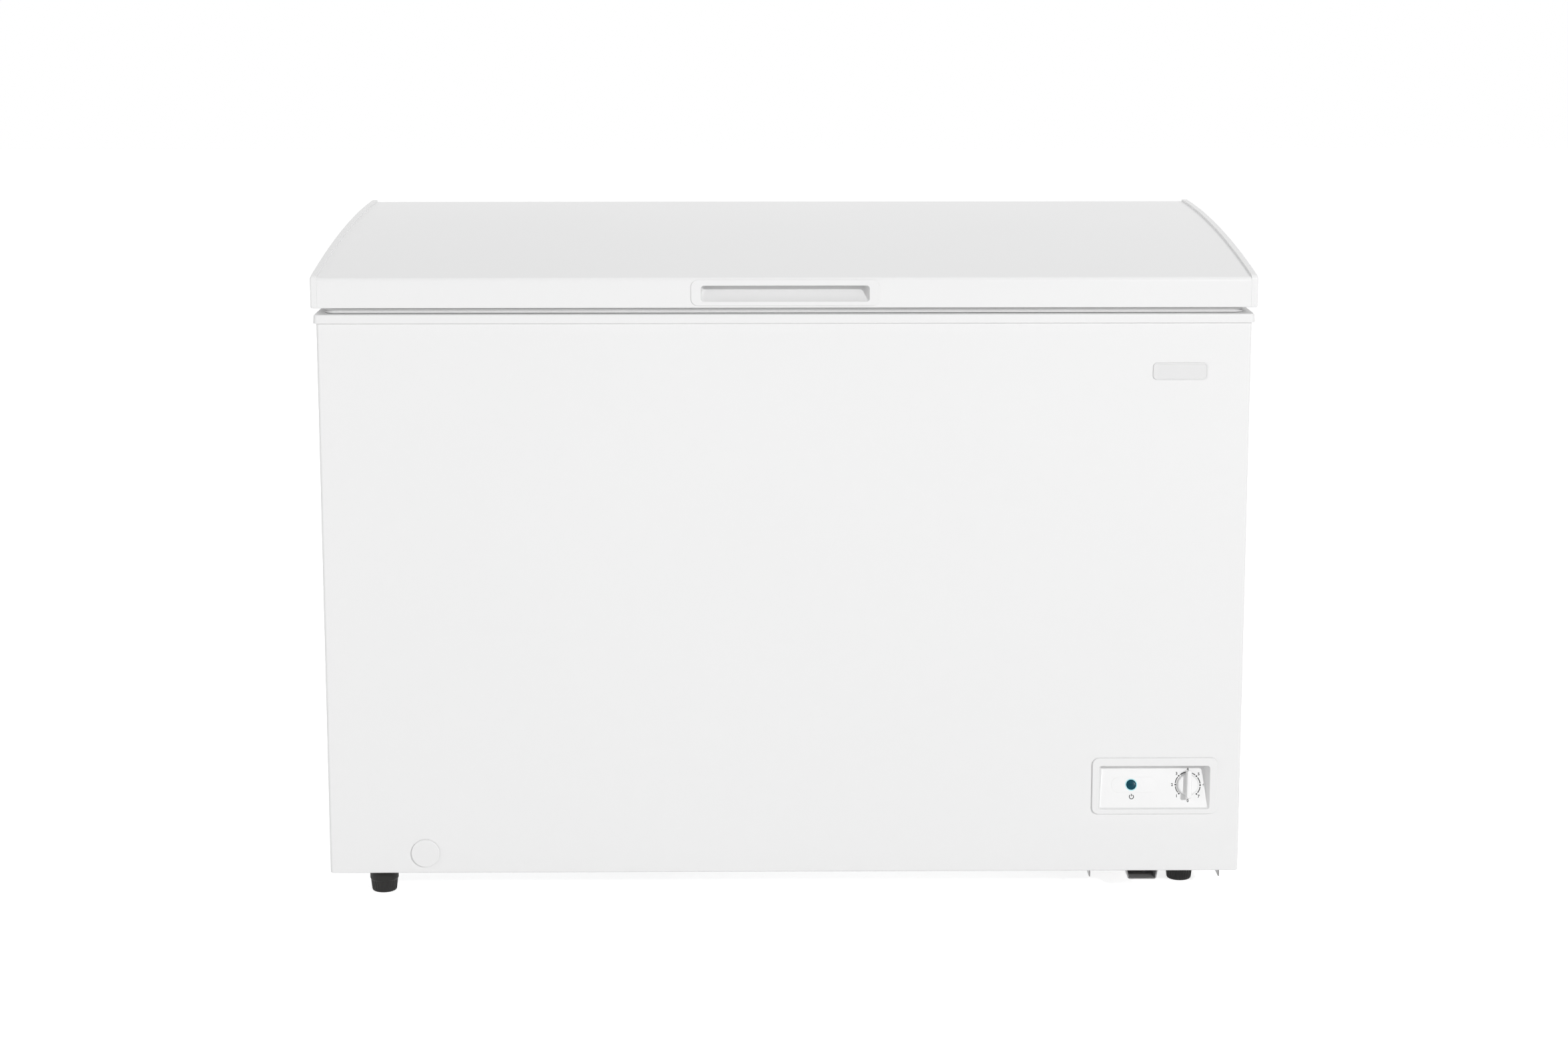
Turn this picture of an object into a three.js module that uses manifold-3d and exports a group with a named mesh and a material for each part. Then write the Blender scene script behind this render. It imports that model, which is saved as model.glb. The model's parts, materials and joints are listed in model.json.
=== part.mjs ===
// Chest freezer with a counterbalanced lid, modelled as separate pieces.
// Millimetres. X runs across the front to the right, Y from front to back, Z up.
// Y = 0 is the cabinet's front face and Z = 0 the floor, until the last lines centre the whole.
import * as THREE from 'three';
import { mergeVertices } from 'three/addons/utils/BufferGeometryUtils.js';
import Module from 'manifold-3d';

const wasm = await Module();
wasm.setup();

// Driving dimensions.
const gap = 0.3;               // kept between pieces that touch
const past = 20;               // how far a cut runs past the face it opens
const far = 1000;              // a reach beyond everything, for cuts that run right through
const sheet = 1;               // painted steel sheet
const cabinetHalf = 559.5;     // half the cabinet's width
const cabinetDepth = 590;
const cabinetBottom = 38.4;
const cornerRadius = 4;
const backRise = 2;            // the back sheets start this far above the wrap's bottom edge
const collarBottom = 721.2;
const collarTop = 731.9;
const collarWall = 3;
const collarHalf = 563;
const collarFront = -3.2;
const collarBack = 592;
const tankHalf = 500;          // half the tank's width inside
const tankFront = 58;
const tankBack = 530;
const tankFloor = 98;
const tankCorner = 25;
const humpX = 310;             // the raised floor starts here
const humpTop = 310;
const linerWall = 1.2;
const machineX = 371;          // left wall of the compressor space
const machineTop = 250;
const ledgeTop = 716;          // the basket hangs on this
const ledgeReach = 10;         // from the tank's wall to the ledge's free edge
const ledgeWall = 2.5;
const ventFront = 330;         // the vent's hole in the wrap's right side
const ventBack = 510;
const ventBottom = 75;
const ventTop = 185;
const lidHalf = 565;
const endCapWidth = 8;
const endCapProud = 2.7;
const lidFront = -4;
const lidBack = 592;
const lidBottom = 739.6;
const lidFrontTop = 775.6;
const lidBend = 5;
const domeSlope = 0.127;       // slope of the lid's top at its front edge
const domeRadius = 4500;
const plugHalf = 488;          // the lid liner's plug, which dips into the tank
const plugFront = 70;
const plugBack = 518;
const plugBottom = 725;
const hingeX = 380;            // centre of each hinge, left and right
const pinY = 601;
const pinZ = 747;
const pinRadius = 3;
const camClosed = 9.5;         // cam radius below the pin with the lid closed
const camRate = 3.2;           // follower travel in mm for each radian of the lid
const gasketInset = 10;        // from the lid's outline to the gasket
const gasketWidth = 18;
const handleX = 0.4;
const handleHalf = 112.4;
const handleBottom = 742.4;
const handleTop = 773.4;
const scoopHalf = 100.5;
const scoopFloor = 747.6;
const scoopCeiling = 766.4;
const bezelLeft = 377.3;       // the control bezel's flange
const bezelRight = 530.8;
const bezelBottom = 112;
const bezelTop = 182.8;
const recessLeft = 385.5;
const recessRight = 521.5;
const recessTop = 172.8;
const dialX = 496.3;
const dialZ = 145.3;
const lampX = 426.6;
const lampZ = 145.7;
const panelSlope = Math.atan(18 / 54.8);   // the control panel leans back by this
const panelFoot = 118;         // height at which the control panel meets the front
const drainX = -441.5;
const drainZ = 64.4;
const drainY = 90;             // centre of the drain hole in the tank's floor
const drainOuter = 9;
const drainBore = 6;
const footX = 500;
const footRearY = 535;
const footHeight = 27;
const studRadius = 4;
const studTop = 60;
const basketLeft = 276;
const basketRight = 488;
const basketFront = 80;
const basketBack = 508;
const basketBottom = 520;
const compressorX = 462;
const compressorY = 400;
const drierX = 396;
const drierY = 250;
const drierLow = 70;
const glandX = 520;
const glandZ = 66;

const freezer = new THREE.Group();

// Colour, roughness and metalness of each material.
const looks = {
  whiteSteel: ['#eef0f2', 0.35, 0.1],
  zincSteel: ['#a9adb0', 0.45, 0.8],
  steel: ['#c4c7ca', 0.35, 0.9],
  aluminium: ['#d5d8da', 0.4, 0.8],
  copper: ['#b87352', 0.35, 0.9],
  blackSteel: ['#1d1e20', 0.45, 0.3],
  whitePlastic: ['#f1f2f3', 0.4, 0],
  blackPlastic: ['#26272a', 0.55, 0],
  rubber: ['#1c1c1d', 0.8, 0],
  gasket: ['#dcdedf', 0.7, 0],
  foam: ['#e6d9a8', 0.9, 0],
  lens: ['#1d5a66', 0.15, 0],
  whiteWire: ['#f4f5f6', 0.4, 0],
};

// ---- Working tools ----

// A closed geometry as a solid that can be joined and cut.
function solid(geometry) {
  geometry.deleteAttribute('normal');
  geometry.deleteAttribute('uv');
  const merged = mergeVertices(geometry, 1e-4);
  return new wasm.Manifold(new wasm.Mesh({
    numProp: 3,
    vertProperties: merged.attributes.position.array,
    triVerts: Uint32Array.from(merged.index.array),
  }));
}

// Adds a piece to the freezer under its name.
function piece(name, body, look) {
  const mesh = body.getMesh();
  const geometry = new THREE.BufferGeometry();
  geometry.setAttribute('position', new THREE.BufferAttribute(mesh.vertProperties, 3));
  geometry.setIndex(new THREE.BufferAttribute(mesh.triVerts, 1));
  geometry.computeVertexNormals();
  const [color, roughness, metalness] = looks[look];
  const material = new THREE.MeshStandardMaterial({ color, roughness, metalness });
  const node = new THREE.Mesh(geometry, material);
  node.name = name;
  freezer.add(node);
}

function box(x0, x1, y0, y1, z0, z1) {
  const geometry = new THREE.BoxGeometry(x1 - x0, y1 - y0, z1 - z0);
  return solid(geometry.translate((x0 + x1) / 2, (y0 + y1) / 2, (z0 + z1) / 2));
}

// A rectangle given by its bounds, with all four corners rounded.
function roundedRect(x0, x1, y0, y1, r) {
  const shape = new THREE.Shape();
  shape.absarc(x1 - r, y1 - r, r, 0, Math.PI / 2);
  shape.absarc(x0 + r, y1 - r, r, Math.PI / 2, Math.PI);
  shape.absarc(x0 + r, y0 + r, r, Math.PI, Math.PI * 1.5);
  shape.absarc(x1 - r, y0 + r, r, Math.PI * 1.5, Math.PI * 2);
  shape.closePath();
  return shape;
}

function outline(points) {
  return new THREE.Shape(points.map(([u, v]) => new THREE.Vector2(u, v)));
}

function circle(u, v, r) {
  const shape = new THREE.Shape();
  shape.absarc(u, v, r, 0, Math.PI * 2);
  return shape;
}

function extruded(shape, depth, curveSegments) {
  return new THREE.ExtrudeGeometry(shape, { depth, bevelEnabled: false, curveSegments });
}

const axisX = new THREE.Vector3(1, 0, 0);
const axisY = new THREE.Vector3(0, 1, 0);
const axisZ = new THREE.Vector3(0, 0, 1);

// An outline drawn in Y and Z, carried along X.
function alongX(shape, x0, x1, segments = 4) {
  const turn = new THREE.Matrix4().makeBasis(axisY, axisZ, axisX);
  return solid(extruded(shape, x1 - x0, segments).applyMatrix4(turn).translate(x0, 0, 0));
}

// An outline drawn in X and Z, carried along Y.
function alongY(shape, y0, y1, segments = 4) {
  const turn = new THREE.Matrix4().makeBasis(axisX, axisZ, axisY.clone().negate());
  return solid(extruded(shape, y1 - y0, segments).applyMatrix4(turn).translate(0, y1, 0));
}

// An outline drawn in X and Y, carried along Z.
function alongZ(shape, z0, z1, segments = 4) {
  return solid(extruded(shape, z1 - z0, segments).translate(0, 0, z0));
}

// A profile of [radius, height] points turned round the Z axis.
function turned(points, segments = 24) {
  return new THREE.LatheGeometry(points.map(([r, h]) => new THREE.Vector2(r, h)), segments)
    .rotateX(Math.PI / 2);
}

function rod(radius, z0, z1, segments = 16) {
  return turned([[0, z0], [radius, z0], [radius, z1], [0, z1]], segments);
}

// A route through given corners, each rounded, whose steps are spent on the bends only.
class BentRoute extends THREE.Curve {
  constructor(corners, bend, stepsPerBend) {
    super();
    this.points = [corners[0]];
    for (let i = 1; i < corners.length - 1; i += 1) {
      const before = corners[i - 1].clone().sub(corners[i]).setLength(bend).add(corners[i]);
      const after = corners[i + 1].clone().sub(corners[i]).setLength(bend).add(corners[i]);
      const curve = new THREE.QuadraticBezierCurve3(before, corners[i], after);
      this.points.push(...curve.getPoints(stepsPerBend));
    }
    this.points.push(corners.at(-1));
  }

  getPoint(t) {
    const place = Math.min(t, 1) * (this.points.length - 1);
    const index = Math.min(Math.floor(place), this.points.length - 2);
    return this.points[index].clone().lerp(this.points[index + 1], place - index);
  }

  getPointAt(u) {
    return this.getPoint(u);
  }

  getTangentAt(u) {
    return this.getTangent(u);
  }

  get steps() {
    return this.points.length - 1;
  }
}

// A round bar or tube, taken as solid, along a route.
function tube(route, radius, sides, steps) {
  const section = new THREE.Shape();
  for (let i = 0; i < sides; i += 1) {
    const angle = (i / sides) * Math.PI * 2;
    section[i ? 'lineTo' : 'moveTo'](radius * Math.cos(angle), radius * Math.sin(angle));
  }
  return solid(new THREE.ExtrudeGeometry(section, { steps, extrudePath: route, bevelEnabled: false }));
}

// ---- Cabinet ----

// The tank's outer shape grown by a margin: a box with the compressor hump cut out of it.
function tankShape(margin, top) {
  const block = alongZ(roundedRect(-tankHalf - margin, tankHalf + margin, tankFront - margin,
    tankBack + margin, tankCorner + margin), tankFloor - margin, top);
  const hump = box(humpX + margin, cabinetHalf, 0, cabinetDepth, 0, humpTop - margin);
  return block.subtract(hump);
}

function coilRoute(half, front, back, bottom, top, turns) {
  const corners = [];
  for (let i = 0; i < turns * 4; i += 1) {
    const height = top - ((top - bottom) * i) / (turns * 4);
    const side = i % 4;
    const x = side === 0 || side === 3 ? -half : half;
    corners.push(new THREE.Vector3(x, side < 2 ? front : back, height));
  }
  return new BentRoute(corners, 30, 3);
}

const collarCeiling = collarTop - collarWall - gap;   // underside of the collar's top, less the gap
const evaporatorRadius = 4;
const condenserRadius = 2.5;
const evaporatorOut = linerWall + 2 * gap + evaporatorRadius;
const condenserIn = sheet + 2 * gap + condenserRadius;
const evaporatorLow = 350;
const evaporatorHigh = 690;
const condenserLow = 290;
const condenserHigh = 670;
const evaporatorRoute = coilRoute(tankHalf + evaporatorOut, tankFront - evaporatorOut,
  tankBack + evaporatorOut, evaporatorLow, evaporatorHigh, 4);
const condenserRoute = coilRoute(cabinetHalf - condenserIn, condenserIn, cabinetDepth - condenserIn,
  condenserLow, condenserHigh, 3);

// The space inside the wrap, less a margin on every side.
function insideWrap(margin, z0, z1) {
  const inset = sheet + margin;
  return alongZ(roundedRect(-cabinetHalf + inset, cabinetHalf - inset, inset, cabinetDepth - inset,
    cornerRadius - inset), z0, z1);
}

function outerWrap() {
  const flange = 15;
  const lap = 3;
  const outer = alongZ(roundedRect(-cabinetHalf, cabinetHalf, 0, cabinetDepth + past, cornerRadius),
    cabinetBottom, collarCeiling);
  const inner = alongZ(roundedRect(-cabinetHalf + sheet, cabinetHalf - sheet, sheet,
    cabinetDepth + 2 * past, cornerRadius - sheet), cabinetBottom + sheet, collarTop);
  const openBack = box(-far, far, cabinetDepth, far, 0, far);
  const openFloor = box(-cabinetHalf + flange, cabinetHalf - flange, flange, far, 0, cabinetBottom + past);
  const panelHole = box(bezelLeft + lap, bezelRight - lap, -past, past, bezelBottom + lap, bezelTop - lap);
  const drainHole = alongY(circle(drainX, drainZ, drainOuter + lap + 1), -past, past, 12);
  const ventHole = box(cabinetHalf - past, far, ventFront, ventBack, ventBottom, ventTop);
  return outer.subtract(inner).subtract(openFloor).subtract(openBack)
    .subtract(panelHole).subtract(drainHole).subtract(ventHole);
}

function backPanel() {
  const half = cabinetHalf - sheet - gap;
  const low = cabinetBottom + backRise;
  const shape = outline([[-half, low], [machineX, low], [machineX, machineTop], [half, machineTop],
    [half, collarCeiling], [-half, collarCeiling]]);
  return alongY(shape, cabinetDepth - sheet, cabinetDepth);
}

const panelFloor = cabinetBottom + sheet + gap;        // underside of the bottom panel

function bottomPanel() {
  const half = cabinetHalf - sheet - gap;
  const shape = outline([[-half, panelFloor], [machineX + sheet, panelFloor],
    [machineX + sheet, machineTop - sheet], [half, machineTop - sheet], [half, machineTop],
    [machineX, machineTop], [machineX, panelFloor + sheet], [-half, panelFloor + sheet]]);
  const panel = alongY(shape, 0, cabinetDepth).intersect(insideWrap(gap, 0, far));
  return leftFeet.reduce((rest, foot) => rest.subtract(studHole(foot)), panel);
}

// The square groove a coil lies in, open to the sheet that the coil cools or warms.
function coilGroove(route, radius) {
  const margin = 0.8;
  return tube(route, (radius + margin) * Math.SQRT2, 4, route.steps);
}

function cabinetFoam() {
  const block = insideWrap(gap, panelFloor + sheet + gap, collarCeiling - linerWall - gap);
  const machine = box(machineX - gap, far, -far, far, 0, machineTop + gap);
  let foam = block.subtract(machine).subtract(tankShape(linerWall + gap, far));
  foam = foam.subtract(coilGroove(evaporatorRoute, evaporatorRadius));
  foam = foam.subtract(coilGroove(condenserRoute, condenserRadius));
  foam = foam.subtract(drainShape(drainOuter + gap, tankFloor, -past));
  return leftFeet.reduce((rest, foot) => rest.subtract(studHole(foot)), foam);
}

function innerLiner() {
  const wall = tankShape(linerWall, collarCeiling).subtract(tankShape(0, far));
  const reach = 12;
  const rim = alongZ(roundedRect(-tankHalf - reach, tankHalf + reach, tankFront - reach,
    tankBack + reach, tankCorner + reach), collarCeiling - linerWall, collarCeiling);
  const opening = tankShape(linerWall / 2, far);
  const hole = solid(rod(drainBore + 0.5, 0, tankFloor + past).translate(drainX, drainY, 0));
  return wall.add(rim.subtract(opening)).subtract(hole);
}

function topCollar() {
  const lip = 2.7;
  const corner = 6;
  const ring = (half, front, back, radius, z0, z1) => (
    alongZ(roundedRect(-half, half, front, back, radius), z0, z1));
  const top = ring(collarHalf, collarFront, collarBack, corner, collarBottom, collarTop);
  const under = ring(cabinetHalf + gap, -gap, cabinetDepth + past, cornerRadius, 0, collarTop - collarWall)
    .subtract(box(-far, far, cabinetDepth + gap, far, 0, far));
  const lipDrop = ledgeTop - ledgeWall;
  const lipOuter = ring(tankHalf - gap, tankFront + gap, tankBack - gap, tankCorner, lipDrop, collarTop);
  const lipInner = ring(tankHalf - gap - lip, tankFront + gap + lip, tankBack - gap - lip,
    tankCorner - lip, 0, far);
  const ledges = ring(tankHalf - gap, tankFront + gap, tankBack - gap, tankCorner, lipDrop, ledgeTop)
    .subtract(box(-tankHalf + gap + lip, tankHalf - gap - lip, tankFront + ledgeReach,
      tankBack - ledgeReach, 0, far));
  return top.subtract(under).add(lipOuter).subtract(lipInner).add(ledges);
}

// ---- Drain ----

// An elbow from the tank's floor down to the drain's height and forward to the front.
function drainShape(radius, top, front) {
  const down = solid(rod(radius, drainZ, top).translate(drainX, drainY, 0));
  const forward = alongY(circle(drainX, drainZ, radius), front, drainY, 8);
  const elbow = solid(new THREE.SphereGeometry(radius, 16, 8).rotateX(Math.PI / 2)
    .translate(drainX, drainY, drainZ));
  return down.add(forward).add(elbow);
}

function drainDuct() {
  return drainShape(drainOuter, tankFloor - linerWall - gap, sheet + gap)
    .subtract(drainShape(drainBore, tankFloor + past, -past));
}

// Flat cap on a stem that plugs the outer end of the duct.
function drainCap() {
  const cap = [[0, -18], [5, -18], [5.4, -10], [5.4, 0.4], [17.5, 0.4], [17.5, 3.2], [16.6, 3.8], [0, 4]];
  return solid(turned(cap, 24).rotateX(Math.PI / 2).translate(drainX, 0, drainZ));
}

function drainPlug() {
  const profile = [[0, tankFloor - 14], [4.6, tankFloor - 14], [5.4, tankFloor + gap],
    [11, tankFloor + gap], [11, tankFloor + 3], [3, tankFloor + 4], [3, tankFloor + 10],
    [6, tankFloor + 12], [6, tankFloor + 14], [0, tankFloor + 15]];
  return solid(turned(profile, 20).translate(drainX, drainY, 0));
}

// ---- Feet ----

const leftFeet = [['front_left', -footX, 55], ['rear_left', -footX, footRearY]];
const rightFeet = [['front_right', footX, 92], ['rear_right', footX, footRearY]];
const socketDepth = 12;

function studHole([, x, y]) {
  const play = 1;
  return solid(rod(studRadius + play, 0, studTop + 4, 8).translate(x, y, 0));
}

// A ribbed cup with a wider smooth band above, and a socket for its stud.
function foot([, x, y]) {
  const band = 15;
  const socket = studRadius + 0.4;
  const profile = [[0, 0], [14.4, 0], [15.4, 1.5], [16.9, band], [17.7, band + 0.8],
    [17.7, footHeight - 2], [16.7, footHeight], [socket, footHeight], [socket, footHeight - socketDepth],
    [0, footHeight - socketDepth]];
  return solid(turned(profile, 20).translate(x, y, 0));
}

function footStud([, x, y]) {
  return solid(rod(studRadius, footHeight - socketDepth + gap, studTop, 12).translate(x, y, 0));
}

// ---- Machine space ----

const baseTop = cabinetBottom - gap;

// Pressed tray that carries the compressor: a flange down each side and a hat channel along its middle.
function compressorBasePlate() {
  const left = 378;
  const right = 540;
  const front = 22;
  const back = 580;
  const wall = 1.6;
  const drop = baseTop - 14;
  const plate = box(left, right, front, back, baseTop - wall, baseTop);
  const leftFlange = box(left, left + wall, front, back, drop, baseTop - wall / 2);
  const rightFlange = box(right - wall, right, front, back, drop, baseTop - wall / 2);
  const hatLow = baseTop - 17.5;
  const hatLeft = 424;
  const hatRight = 464;
  const lean = 3;
  const hat = outline([[hatLeft, baseTop - wall / 2], [hatLeft + lean, hatLow], [hatRight - lean, hatLow],
    [hatRight, baseTop - wall / 2]]);
  const hollow = outline([[hatLeft + 2, baseTop - wall], [hatLeft + lean + 1.7, hatLow + wall],
    [hatRight - lean - 1.7, hatLow + wall], [hatRight - 2, baseTop - wall]]);
  const channel = alongY(hat, front, back).subtract(alongY(hollow, front - past, back + past));
  const tray = plate.add(leftFlange).add(rightFlange).add(channel);
  return rightFeet.map(studHole).reduce((rest, hole) => rest.subtract(hole), tray);
}

const grommetHeight = 12;
const grommetPlaces = [['front_left', -48, -88], ['front_right', 48, -88], ['rear_left', -48, 88],
  ['rear_right', 48, 88]];

function grommet([, x, y]) {
  const profile = [[3, 0], [10, 0], [10, 4], [7, 6], [10, 8], [10, grommetHeight], [3, grommetHeight],
    [3, 0]];
  return solid(turned(profile, 16).translate(compressorX + x, compressorY + y, baseTop + gap));
}

const shellLow = baseTop + grommetHeight + 2 * gap;

// The compressor's welded can, grown by a margin: an oval bowl and lid with the weld between them.
function compressorShell(margin) {
  const profile = [[44, 4], [64, 18], [70, 40], [70, 80], [73, 80], [73, 84], [70, 84], [69, 118],
    [60, 142], [36, 156]].map(([r, h]) => [r + margin, h]);
  const closed = [[0, 4 - margin], ...profile, [0, 160 + margin]];
  return solid(turned(closed, 28).scale(0.88, 1, 1).translate(compressorX, compressorY, shellLow));
}

// The can on its pressed foot bracket.
function compressor() {
  const low = shellLow;
  const plate = (halfX, halfY, height) => (
    box(-halfX, halfX, -halfY, halfY, low, low + height).translate([compressorX, compressorY, 0]));
  const bracket = plate(60, 100, 3);
  const legs = plate(30, 60, 20);
  return compressorShell(0).add(bracket).add(legs);
}

function terminalCover() {
  const y = compressorY + 74;
  return alongY(roundedRect(compressorX - 28, compressorX + 28, 100, 152, 5), y, y + 26);
}

function filterDrier() {
  const profile = [[0, 0], [2.5, 0], [2.5, 8], [9, 18], [9, 88], [2.5, 98], [2.5, 106], [0, 106]];
  return solid(turned(profile, 16).translate(drierX, drierY, drierLow));
}

// A copper pipe through hand-set points, from the compressor's shell to the left wall of the space.
function copperPipe(points, radius) {
  const curve = new THREE.CatmullRomCurve3(points.map((p) => new THREE.Vector3(...p)));
  return tube(curve, radius, 8, 24).subtract(compressorShell(gap));
}

const suctionPoints = [[machineX + 2, 300, 215], [machineX + 20, 300, 215], [compressorX - 50, 310, 205],
  [compressorX - 30, 318, 160], [compressorX - 20, 324, 125], [compressorX - 12, 332, 122]];
const drierTop = drierLow + 109;
const dischargePoints = [[drierX, drierY, drierTop], [drierX, drierY, drierTop + 11], [410, 262, 205],
  [450, 280, 205], [490, 300, 180], [505, 320, 130], [500, 345, 110]];

// A framed grille whose collar reaches in through the wrap.
function sideVentGrille() {
  const shape = (grow, radius) => (
    roundedRect(ventFront - grow, ventBack + grow, ventBottom - grow, ventTop + grow, radius));
  const face = alongX(shape(4, 6), cabinetHalf + gap, cabinetHalf + 2.2);
  const collar = alongX(shape(-1, 4), cabinetHalf - 6, cabinetHalf + 1);
  const hollow = alongX(shape(-4, 3), cabinetHalf - past, cabinetHalf + gap);
  let grille = face.add(collar).subtract(hollow);
  for (let z = ventBottom + 9; z < ventTop - 9; z += 11) {
    grille = grille.subtract(box(cabinetHalf - past, far, ventFront + 10, ventBack - 10, z, z + 5));
  }
  return grille;
}

function rearCover() {
  const y0 = cabinetDepth + gap;
  const lap = 9;
  const right = 558;
  const wall = 1.2;
  let cover = box(machineX - lap, right, y0, y0 + wall, cabinetBottom + backRise, machineTop + lap);
  for (let z = 100; z < 230; z += 14) {
    cover = cover.subtract(box(machineX + 21, right - 18, 0, far, z, z + 6));
  }
  return cover.subtract(alongY(circle(glandX, glandZ, 8), y0 - past, y0 + past, 8));
}

// Rubber bush with a groove that grips the rear cover.
function inletGland() {
  const y0 = cabinetDepth + gap;
  const profile = [[4, -5], [9.5, -5], [10, -gap], [7.6, -gap], [7.6, 1.2 + gap], [10, 1.2 + gap],
    [8.6, 6.5], [4, 6.5], [4, -5]];
  const bush = turned(profile, 20).rotateX(-Math.PI / 2);
  return solid(bush.translate(glandX, y0, glandZ));
}

// ---- Controls ----

// Turns a body made round the Z axis so that Z becomes the panel's outward normal at a given spot.
function onPanel(geometry, x, z) {
  const depth = (z - panelFoot) * Math.tan(panelSlope);
  return geometry.rotateX(Math.PI / 2 - panelSlope).translate(x, depth, z);
}

// A flange on the wrap's face, round a recess whose back leans back as it rises.
function controlBezel() {
  const wall = 3;
  const depthAt = (z) => (z - panelFoot) * Math.tan(panelSlope);
  const flange = alongY(roundedRect(bezelLeft, bezelRight, bezelBottom, bezelTop, 8), -3.5, -gap);
  const low = panelFoot - 2.6;
  const high = recessTop + 5.2;
  const shell = outline([[-1, low], [depthAt(low) + wall, low], [depthAt(high) + wall, high], [-1, high]]);
  const body = alongX(shell, recessLeft - 3.5, recessRight + 3.5);
  const recess = outline([[-past, panelFoot - 0.4], [0, panelFoot], [depthAt(recessTop), recessTop],
    [-past, recessTop + 0.8]]);
  const pocket = alongX(recess, recessLeft, recessRight);
  const knobHole = solid(onPanel(rod(4.2, -past, past, 16), dialX, dialZ));
  const lampHole = solid(onPanel(rod(6.9, -past, past, 20), lampX, lampZ));
  return flange.add(body).subtract(pocket).subtract(knobHole).subtract(lampHole);
}

const wallBehind = 3.2;

function thermostatBody() {
  const can = new THREE.BoxGeometry(46, 36, 30).translate(0, 0, -wallBehind - 15);
  const bore = rod(3.6, -wallBehind - 10, 0, 16);
  return solid(onPanel(can, dialX, dialZ)).subtract(solid(onPanel(bore, dialX, dialZ)));
}

function thermostatShaft() {
  return solid(onPanel(rod(3, -wallBehind - 8, 5, 16), dialX, dialZ));
}

const knobTilt = THREE.MathUtils.degToRad(3);   // the blade rests a little clockwise of upright

function thermostatKnob() {
  const disc = turned([[0, gap], [13, gap], [13, 4], [11.5, 5.5], [0, 5.5]], 32);
  const blade = extruded(roundedRect(-3, 3, -17.5, 17.5, 2.6), 10, 4).translate(0, 0, 5).rotateZ(-knobTilt);
  const shaftHole = rod(3.4, -1, 5.4, 16);
  return solid(onPanel(disc, dialX, dialZ)).add(solid(onPanel(blade, dialX, dialZ)))
    .subtract(solid(onPanel(shaftHole, dialX, dialZ)));
}

function indicatorLens() {
  const profile = [[0, -2.6], [6.4, -2.6], [6.4, 0.4], [5.4, 1.2], [0, 1.6]];
  return solid(onPanel(turned(profile, 24), lampX, lampZ));
}

function indicatorLamp() {
  return solid(onPanel(rod(6.2, -22, -2.6 - gap, 16), lampX, lampZ));
}

function badgePlate() {
  const badgeX = 474.9;
  const badgeZ = 662.2;
  const half = 33;
  const halfHeight = 10.3;
  return alongY(roundedRect(badgeX - half, badgeX + half, badgeZ - halfHeight, badgeZ + halfHeight, 5),
    -1.6, -gap);
}

// ---- Lid ----

function domeHeight(y) {
  const back = y - lidFront;
  return lidFrontTop + domeSlope * back - (back * back) / (2 * domeRadius);
}

// The lid's side outline, drawn in by a margin, with its front and back top edges bent.
function lidOutline(margin, rise, bottom) {
  const front = lidFront + margin;
  const back = lidBack - margin;
  const bend = Math.max(lidBend - margin, 1);
  const lift = rise - margin;
  const points = [[back, bottom], [back, domeHeight(back) + lift - bend]];
  const steps = 16;
  for (let i = 0; i <= steps; i += 1) {
    const y = back - bend - ((back - front - 2 * bend) * i) / steps;
    points.push([y, domeHeight(y) + lift]);
  }
  const mid = bend * (1 - Math.SQRT1_2);
  points.splice(2, 0, [back - mid, domeHeight(back) + lift - mid]);
  points.push([front + mid, domeHeight(front) + lift - mid]);
  points.push([front, domeHeight(front) + lift - bend]);
  points.push([front, bottom]);
  return outline(points);
}

const lidSkinHalf = lidHalf - endCapWidth - gap;

function lidSkin() {
  const shell = alongX(lidOutline(0, 0, lidBottom), -lidSkinHalf, lidSkinHalf)
    .subtract(alongX(lidOutline(sheet, 0, lidBottom + sheet), -far, far));
  const hem = 8;
  const floorHole = box(-far, far, lidFront + hem, lidBack - hem, 0, lidBottom + past / 2);
  return shell.subtract(floorHole).subtract(handleBody(gap));
}

// A plate with a pocket for the foam behind its solid nose, into which the skin's front edge is riveted.
function lidEndCap(side) {
  const outer = lidHalf;
  const inner = lidHalf - endCapWidth;
  const capWall = 3;
  const noseDepth = 30;
  const plate = alongX(lidOutline(0, endCapProud, lidBottom), inner, outer);
  const pocket = alongX(lidOutline(capWall, endCapProud, lidBottom + capWall), inner - 5, outer - capWall)
    .subtract(box(0, far, lidFront - past, lidFront + noseDepth, 0, far));
  const cap = plate.subtract(pocket);
  return side > 0 ? cap : cap.mirror([1, 0, 0]);
}

const lidFlange = lidBottom + sheet + gap;          // underside of the lid liner's flange

function lidPlug(margin, top) {
  return alongZ(roundedRect(-plugHalf - margin, plugHalf + margin, plugFront - margin, plugBack + margin,
    24 + margin), plugBottom - margin, top);
}

function lidLiner() {
  const margin = sheet + gap;
  const flange = box(-lidSkinHalf + gap, lidSkinHalf - gap, lidFront + margin, lidBack - margin,
    lidFlange, lidFlange + linerWall);
  return flange.add(lidPlug(0, lidFlange + linerWall)).subtract(lidPlug(-linerWall, far));
}

function lidFoam() {
  const margin = sheet + gap;
  const base = lidFlange + linerWall + gap;
  const body = alongX(lidOutline(margin, 0, base), -lidSkinHalf + gap, lidSkinHalf - gap);
  return body.add(lidPlug(-linerWall - gap, base + 10)).subtract(handleBody(2 * gap));
}

function lidGasket() {
  const ring = (inset) => roundedRect(-lidHalf + inset, lidHalf - inset, lidFront + inset, lidBack - inset,
    Math.max(30 - inset, 6));
  return alongZ(ring(gasketInset), collarTop + gap, lidBottom + sheet)
    .subtract(alongZ(ring(gasketInset + gasketWidth), 0, far));
}

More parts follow.
